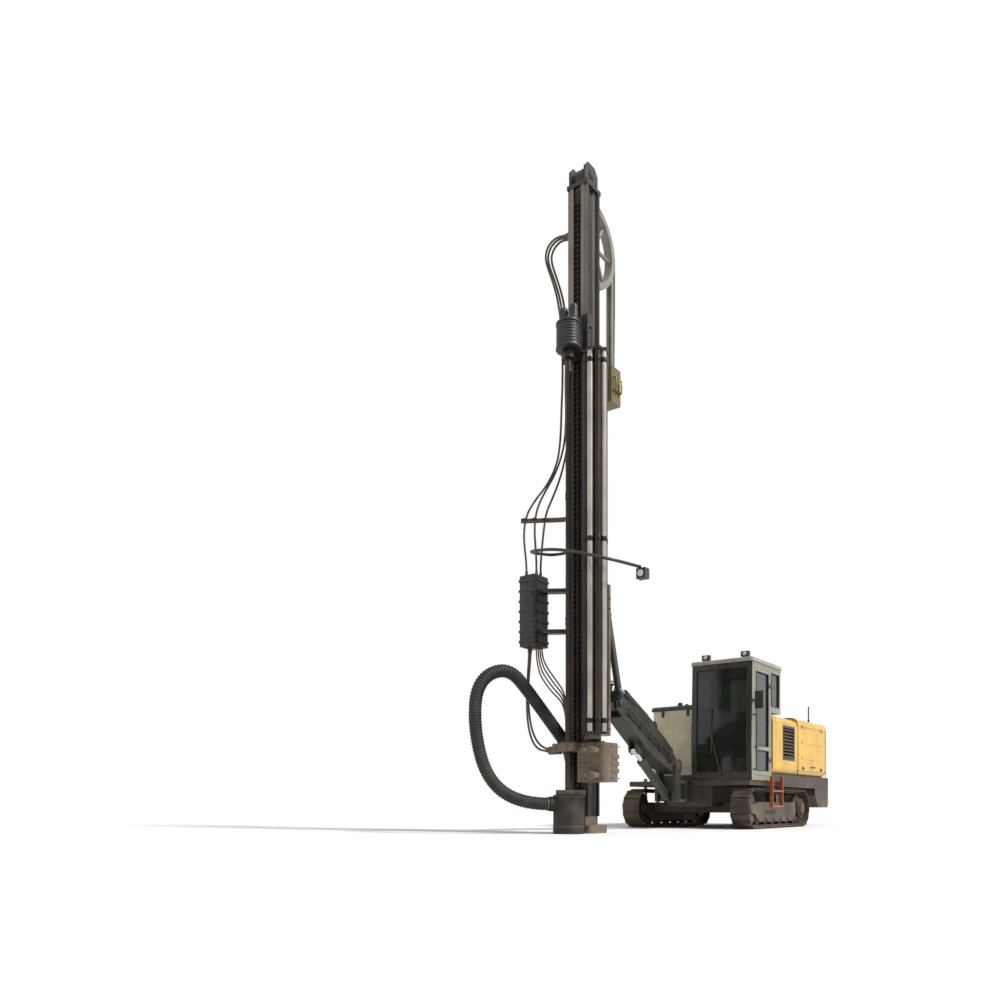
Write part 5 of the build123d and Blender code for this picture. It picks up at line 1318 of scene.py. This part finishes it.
# %% Bolts of the feed
beam_half = 0.14
groove_depth = 0.024
crown_low, crown_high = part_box("feed_crown")
sheave_steps = [(0, 0.045), (0.012, 0.045), (0, 0.03), (0.008, 0.026)]
rows = []
sheaves = []
for hand in (1, -1):
    outward = (0, hand, 0)
    groove_y = beam_y + hand * (beam_half - groove_depth)
    side_y = beam_y + hand * beam_half
    rows += [((beam_x, groove_y, 0.55 + 0.6 * i), outward) for i in range(15)]
    rows += [((x, side_y, crown_low.z + 0.11), outward) for x in (beam_x - 0.10, beam_x + 0.10)]
    sheaves.append(((beam_x + 0.02, side_y, crown_high.z - 0.16), outward))
    rows += ring_of(*sheaves[-1], 0.06, 6)
bolt_set("feed_bolts", "feed", "beam_aluminium", 0.017, rows)
caps = [add_turned(place, outward, sheave_steps) for place, outward in sheaves]
dress(joined(caps), "crown_pin_caps", dark, "feed", "black_steel")

# %% [markdown]
# The rotation head drives the drill string. Its gearbox gets flanges, cooling ribs and rings of
# bolts; its two motors get collars and end caps, and hose elbows stand on top.

# %% Rotation head
head_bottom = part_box("rotation_head")[0].z
gear_z = head_bottom + 0.06
gear_top = gear_z + 0.40
motor_y = 0.085


def flange(middle, radius, inner, rise, sides):
    """Flat ring on something upright: a disc that narrows on its top."""
    return add_turned(middle, up, [(0, radius), (rise, radius), (0, inner)], sides)


flanges = [
    flange(drill_axis + up * z, 0.184, 0.165, 0.03, 40) for z in (gear_z + 0.012, gear_top - 0.042)
]
for i in range(7):
    z = gear_z + 0.075 + 0.042 * i
    flanges.append(flange(drill_axis + up * z, 0.178, 0.165, 0.012, 36))
motor_steps = [(0, 0.058), (0.012, 0.058), (0, 0.045), (0.012, 0.04)]
rows = ring_of(drill_axis + up * (gear_top - 0.012), up, 0.155, 12, 0.13)
rows += ring_of(drill_axis + up * (gear_z + 0.012), -up, 0.176, 16)
for hand in (1, -1):
    motor = drill_axis + Vector((0, hand * motor_y, gear_top))
    flanges.append(add_turned(motor + up * 0.208, up, motor_steps, 24))
    for z in (0.03, 0.16):
        flanges.append(flange(motor + up * z, 0.067, 0.06, 0.018, 28))
    rows += ring_of(motor + up * 0.22, up, 0.049, 6)
    for z in (0.08, 0.22, 0.36, 0.50):
        rows.append(((3.474, beam_y + hand * 0.205, head_bottom + z), (0, hand, 0)))
dress(joined(flanges), "head_flanges", dark, "rotation_head", "dusty_steel")
bolt_set("head_bolts", "rotation_head", "dusty_steel", 0.015, rows)

elbows = []
for y, reach in ((-0.135, 0.09), (-0.085, 0.12), (0.035, 0.09), (0.085, 0.12)):
    foot = drill_axis + Vector((-0.075, y - beam_y - 0.10, gear_top))
    bend = [
        foot, foot + up * reach, foot + Vector((-0.02, 0, reach + 0.02)),
        foot + Vector((-0.05, 0, reach + 0.02)),
    ]
    elbows.append(add_tube(bend, 0.013))
    elbows.append(add_turned(foot, up, [(0, 0.02), (0.022, 0.02), (0, 0.015)], 6))
dress(joined(elbows), "head_elbows", brass, "rotation_head", "dusty_steel")

# %% [markdown]
# Drill rods are screwed together, so the string shows a pair of collars at every joint. Rings mark
# the hammer below, which ends in a studded bit.

# %% Drill string
collars = []
for z in (3.0, 4.8, 6.55):
    for rise in (0.0, 0.06):
        collars.append(flange(drill_axis + up * (z + rise), 0.0495, 0.043, 0.05, 24))
bit = [(0, 0.046), (0.012, 0.0555), (0.045, 0.0555), (0.01, 0.050)]
collars.append(add_turned(drill_axis + up * 0.065, up, bit, 24))
for z in (0.30, 0.95, 1.12):
    collars.append(flange(drill_axis + up * z, 0.0545, 0.05, 0.014, 24))
dress(joined(collars), "string_collars", rod_steel, "drill_string", "rod_steel")
studs = []
for ring, count in ((0.0, 1), (0.022, 5), (0.042, 9)):
    for i in range(count):
        turn = 2 * pi * i / count
        bpy.ops.mesh.primitive_uv_sphere_add(
            segments=10, ring_count=6, radius=0.007,
            location=drill_axis + Vector((ring * cos(turn), ring * sin(turn), 0.066)),
        )
        bpy.ops.object.shade_smooth()
        studs.append(settle())
dress(joined(studs), "bit_studs", bolt_steel, "drill_string", "rod_steel")

# %% [markdown]
# The rods in the carousel have collars too. One rod's set is modelled and repeated round the middle.

# %% Rods of the carousel
rack_axis = Vector((rack_x, rack_y, 0))
rack_bottom = rack_low.z + 0.055
rack_top = rack_high.z - 0.055
rod_set = [
    flange((rod_ring, 0, z), 0.0485, 0.043, 0.07, 20)
    for z in (rack_bottom + 0.16, (rack_bottom + rack_top) / 2, rack_top - 0.20)
]
rod_sets = repeated(joined(rod_set), turned_round(rack_axis, 8))
dress(rod_sets, "carousel_collars", chain_steel, "rod_carousel", "rod_steel")
rows = ring_of(rack_axis + up * rack_top, up, 0.072, 6)
rows += ring_of(rack_axis + up * rack_bottom, -up, 0.072, 6)
bolt_set("carousel_bolts", "rod_carousel", "rod_steel", 0.016, rows)

# %% [markdown]
# The valve box opens to the front, under a bolted cover with two quarter-turn locks. The hoses
# enter through plates above and below.

# %% Valve box
cover_front = 3.697
cover = [
    add_box((3.690, -0.93, 2.90), (3.698, -0.71, 3.72), 0.003),
    add_box((3.40, -0.90, 3.838), (3.66, -0.72, 3.856), 0.004),
    add_box((3.42, -0.92, 2.764), (3.64, -0.74, 2.782), 0.004),
]
lock_steps = [(0, 0.014), (0.008, 0.014), (0, 0.006)]
for z in (3.05, 3.57):
    cover.append(add_turned((cover_front, -0.735, z), forward, lock_steps))
dress(joined(cover), "valve_box_cover", black_steel, "feed", "black_steel")
rows = [((cover_front, y, z), forward) for y in (-0.915, -0.725) for z in (2.93, 3.31, 3.69)]
bolt_set("valve_box_bolts", "feed", "black_steel", 0.011, rows)

# %% [markdown]
# Saddles hold the three hoses on the rack arm, and a lamp looks down the feed from its hoop.

# %% Rack saddles and the feed's lamp
saddles = []
for x, y in ((3.655, -0.906), (3.582, -0.768), (3.486, -0.666)):
    saddles.append(add_box((x - 0.03, y - 0.028, 4.665), (x + 0.03, y + 0.028, 4.705), 0.006))
dress(joined(saddles), "rack_saddles", black_rubber, "feed", "black_rubber")
lamp_aim = (1, 0, -0.2)
lamp = [add_turned((3.33, 0.87, 3.672), lamp_aim, [(0, 0.058), (0.014, 0.058), (0, 0.05)], 28)]
for i in range(5):
    lamp.append(add_box((3.215 + 0.022 * i, 0.795, 3.61), (3.222 + 0.022 * i, 0.80, 3.735), 0.001))
dress(joined(lamp), "feed_lamp_rim", black_steel, "feed", "black_steel")
steps = [(0, 0.048), (0.004, 0.044), (0.003, 0.03)]
lens = add_turned((3.3435, 0.87, 3.669), lamp_aim, steps, 28)
dress(lens, "feed_lamp_lens", lens_glass, "feed", "tinted_glass")
print("feed fittings are in")

# %% [markdown]
# The gripper beside the table hands the rods over. Two drums, each with a pair of jaws, stick out
# of its housing. Three ribs lie on its side, two round caps on its top, and bolts between them.

# %% Gripper
grip_front = 3.71
grip_side = 0.54
grip_y = 0.33
table_top = 1.29
drum = [
    (0, 0.062), (0.03, 0.062), (0, 0.05), (0.05, 0.05), (0, 0.062), (0.03, 0.062), (0, 0.03),
]
jaws = []
for z in (0.83, 1.18):
    jaws.append(add_turned((grip_front + 0.005, grip_y, z), forward, drum, 24))
    for hand in (1, -1):
        near, middle, far = (grip_y + hand * across for across in (0.03, 0.065, 0.10))
        jaws.append(add_box((3.70, middle, z - 0.035), (3.86, far, z + 0.035), 0.008))
        jaws.append(add_box((3.83, near, z - 0.03), (3.87, far, z + 0.03), 0.008))
for z in (0.90, 1.00, 1.10):
    jaws.append(
        add_box((3.36, grip_side - 0.002, z - 0.03), (3.56, grip_side + 0.012, z + 0.03), 0.006)
    )
for x, y, rise, radius in ((3.45, 0.25, 0.035, 0.07), (3.60, 0.40, 0.025, 0.05)):
    jaws.append(add_bar((x, y, table_top), (x, y, table_top + rise), radius, 28))
dress(joined(jaws), "gripper_jaws", taupe, "feed", "dusty_steel")
spots = [(y, z) for y in (0.13, 0.20, 0.47) for z in (0.78, 1.01, 1.25)]
rows = [((grip_front + 0.001, y, z), forward) for y, z in spots]
rows += [((x, grip_side, z), (0, 1, 0)) for x in (3.36, 3.58) for z in (0.79, 1.24)]
rows += ring_of((3.45, 0.25, table_top + 0.035), up, 0.052, 6)
bolt_set("gripper_bolts", "feed", "dusty_steel", 0.017, rows)

# %% [markdown]
# The table carries the breakout wrench, a ring with gear teeth. It is bored while it is still a
# plain turned part: cut after the teeth are joined to it, the bore would come out closed.

# %% Breakout table
wrench_steps = [(0, 0.15), (0.02, 0.15), (0, 0.125), (0.012, 0.12)]
table_ring = add_turned(drill_axis + up * (table_top - 0.002), up, wrench_steps, 40)
bpy.ops.mesh.primitive_cylinder_add(
    vertices=40, radius=0.064, depth=0.2, location=drill_axis + up * 1.30
)
bore = settle()
pick(table_ring)
bpy.ops.object.modifier_add(type="BOOLEAN")
table_ring.modifiers[-1].object = bore
table_ring.modifiers[-1].operation = "DIFFERENCE"
bpy.ops.object.modifier_apply(modifier=table_ring.modifiers[-1].name)
bpy.data.objects.remove(bore)
levels = [vertex.co.z for vertex in table_ring.data.vertices]
print("wrench ring from", round(min(levels), 4), "to", round(max(levels), 4))
tooth = add_box((0.145, -0.010, table_top), (0.165, 0.010, table_top + 0.016), 0.002)
teeth = repeated(tooth, turned_round(drill_axis, 24))
dress(joined([table_ring, teeth]), "wrench_ring", taupe, "feed", "dusty_steel")
rows = [((3.868, y, z), forward) for y in (-0.19, -0.01) for z in (1.21, 1.26)]
rows += [
    ((x, beam_y + hand * across, table_top), up)
    for x, across in ((3.80, 0.17), (3.50, 0.16)) for hand in (1, -1)
]
bolt_set("table_bolts", "feed", "dusty_steel", 0.018, rows)

# %% [markdown]
# Hard pipes drop from the valve box to the table. They follow one route, and each pipe lies a
# little aside from the last.

# %% Pipes below the valve box
pipes = []
for i in range(4):
    top_x = 3.42 + 0.05 * i
    low_x = 3.36 - 0.012 * i
    low_y = -0.34 - 0.012 * i
    drop = 1.44 - 0.02 * i
    route = [
        (top_x, -0.74, 2.782), (top_x, -0.74, 2.60 - 0.05 * i),
        (top_x - 0.02, -0.52, 2.30 - 0.06 * i), (low_x, low_y, 2.05 - 0.05 * i),
        (low_x, low_y, drop), (3.40, -0.27, drop - 0.06), (3.46, -0.27, table_top),
    ]
    pipes.append(as_mesh(smooth_route("pipe", route, 0.012, 8)))
dress(joined(pipes), "valve_pipes", taupe, "feed", "dusty_steel")

# %% [markdown]
# Hoses lie over the half disc at the top of the beam and end in the block of joints behind it. They
# don't swing, so they are rigid pieces: arcs on the disc's rim that run straight down.

# %% Hoses over the guide disc
disc_z = 8.80
disc_x = beam_x - 0.19
rim = 0.634
block_top = 7.145
turns = [radians(96 + 84 * i / 18) for i in range(19)]
arc = [(disc_x + rim * cos(turn), disc_z + rim * sin(turn)) for turn in turns]
arc += [(disc_x - rim, 8.2), (disc_x - 0.615, block_top)]
lines = [
    add_tube([(x, beam_y + y, z) for x, z in arc], 0.0135, sides=3)
    for y in (-0.045, -0.015, 0.015, 0.045)
]
dress(joined(lines), "guide_hoses", hose_rubber, "feed", "hose_rubber")
block_x = disc_x - 0.575
port_z = 6.78
rear_steps = [(0, 0.024), (0.02, 0.024), (0, 0.016), (0.03, 0.014)]
side_steps = [(0, 0.028), (0.02, 0.028), (0, 0.02), (0.035, 0.018)]
loop = [(0.12, port_z), (0.158, port_z), (0.165, 6.83), (0.16, 6.96), (0.11, 6.99)]
ports = []
for i in range(4):
    for y in (-0.075, 0.075):
        foot = (block_x - 0.14, beam_y + y, 6.70 + 0.12 * i)
        ports.append(add_turned(foot, (-1, 0, 0), rear_steps, 6, 0.0015))
for hand in (1, -1):
    for x in (block_x - 0.08, block_x, block_x + 0.08):
        foot = (x, beam_y + hand * 0.11, port_z)
        ports.append(add_turned(foot, (0, hand, 0), side_steps, 6, 0.0015))
        ports.append(add_tube([(x, beam_y + hand * y, z) for y, z in loop], 0.011, sides=3))
dress(joined(ports), "junction_ports", brass, "feed", "dusty_steel")
print("guide and junction are in")

# %% [markdown]
# The floor and the light. A white world fills the shadows. The sun stands to the machine's left, so
# that the side towards it is bright and the front stays dark, as in the picture.

# %% Studio
bpy.ops.mesh.primitive_plane_add(size=120, location=(0, 0, 0))
floor = bpy.context.object
floor.name = "studio_floor"
floor_paint, tree, shader = new_material("studio_floor_paint")
speckle = noise(tree, 3.0, 8.0)
fill(tree, shader, {
    "Base Color": blend_tones(tree, speckle, tone(244, 243, 241), tone(252, 251, 249)),
    "Roughness": 0.85,
})
floor.data.materials.append(floor_paint)

world = bpy.data.worlds.new("studio_white")
bpy.context.scene.world = world
world.use_nodes = True
tree = world.node_tree
rays = add_node(tree, "LightPath").outputs
seen = calculate(tree, "MAXIMUM", rays["Is Camera Ray"], rays["Is Glossy Ray"])
seen = calculate(tree, "MAXIMUM", seen, rays["Is Transmission Ray"])
white = (1, 1, 1, 1)
shadow_light = 0.44
fill(
    tree, tree.nodes["Background"],
    {"Color": white, "Strength": between(tree, seen, shadow_light, 1.0)},
)

sun_turn = (radians(47), 0, radians(186))
bpy.ops.object.light_add(type="SUN", location=(0, 0, 12), rotation=sun_turn)
sun = bpy.context.object
sun.data.energy = 3.2
sun.data.angle = radians(9)

# %% [markdown]
# The last step of every run sets the view transform to Standard.

# %% Finish
bpy.context.scene.view_settings.view_transform = "Standard"
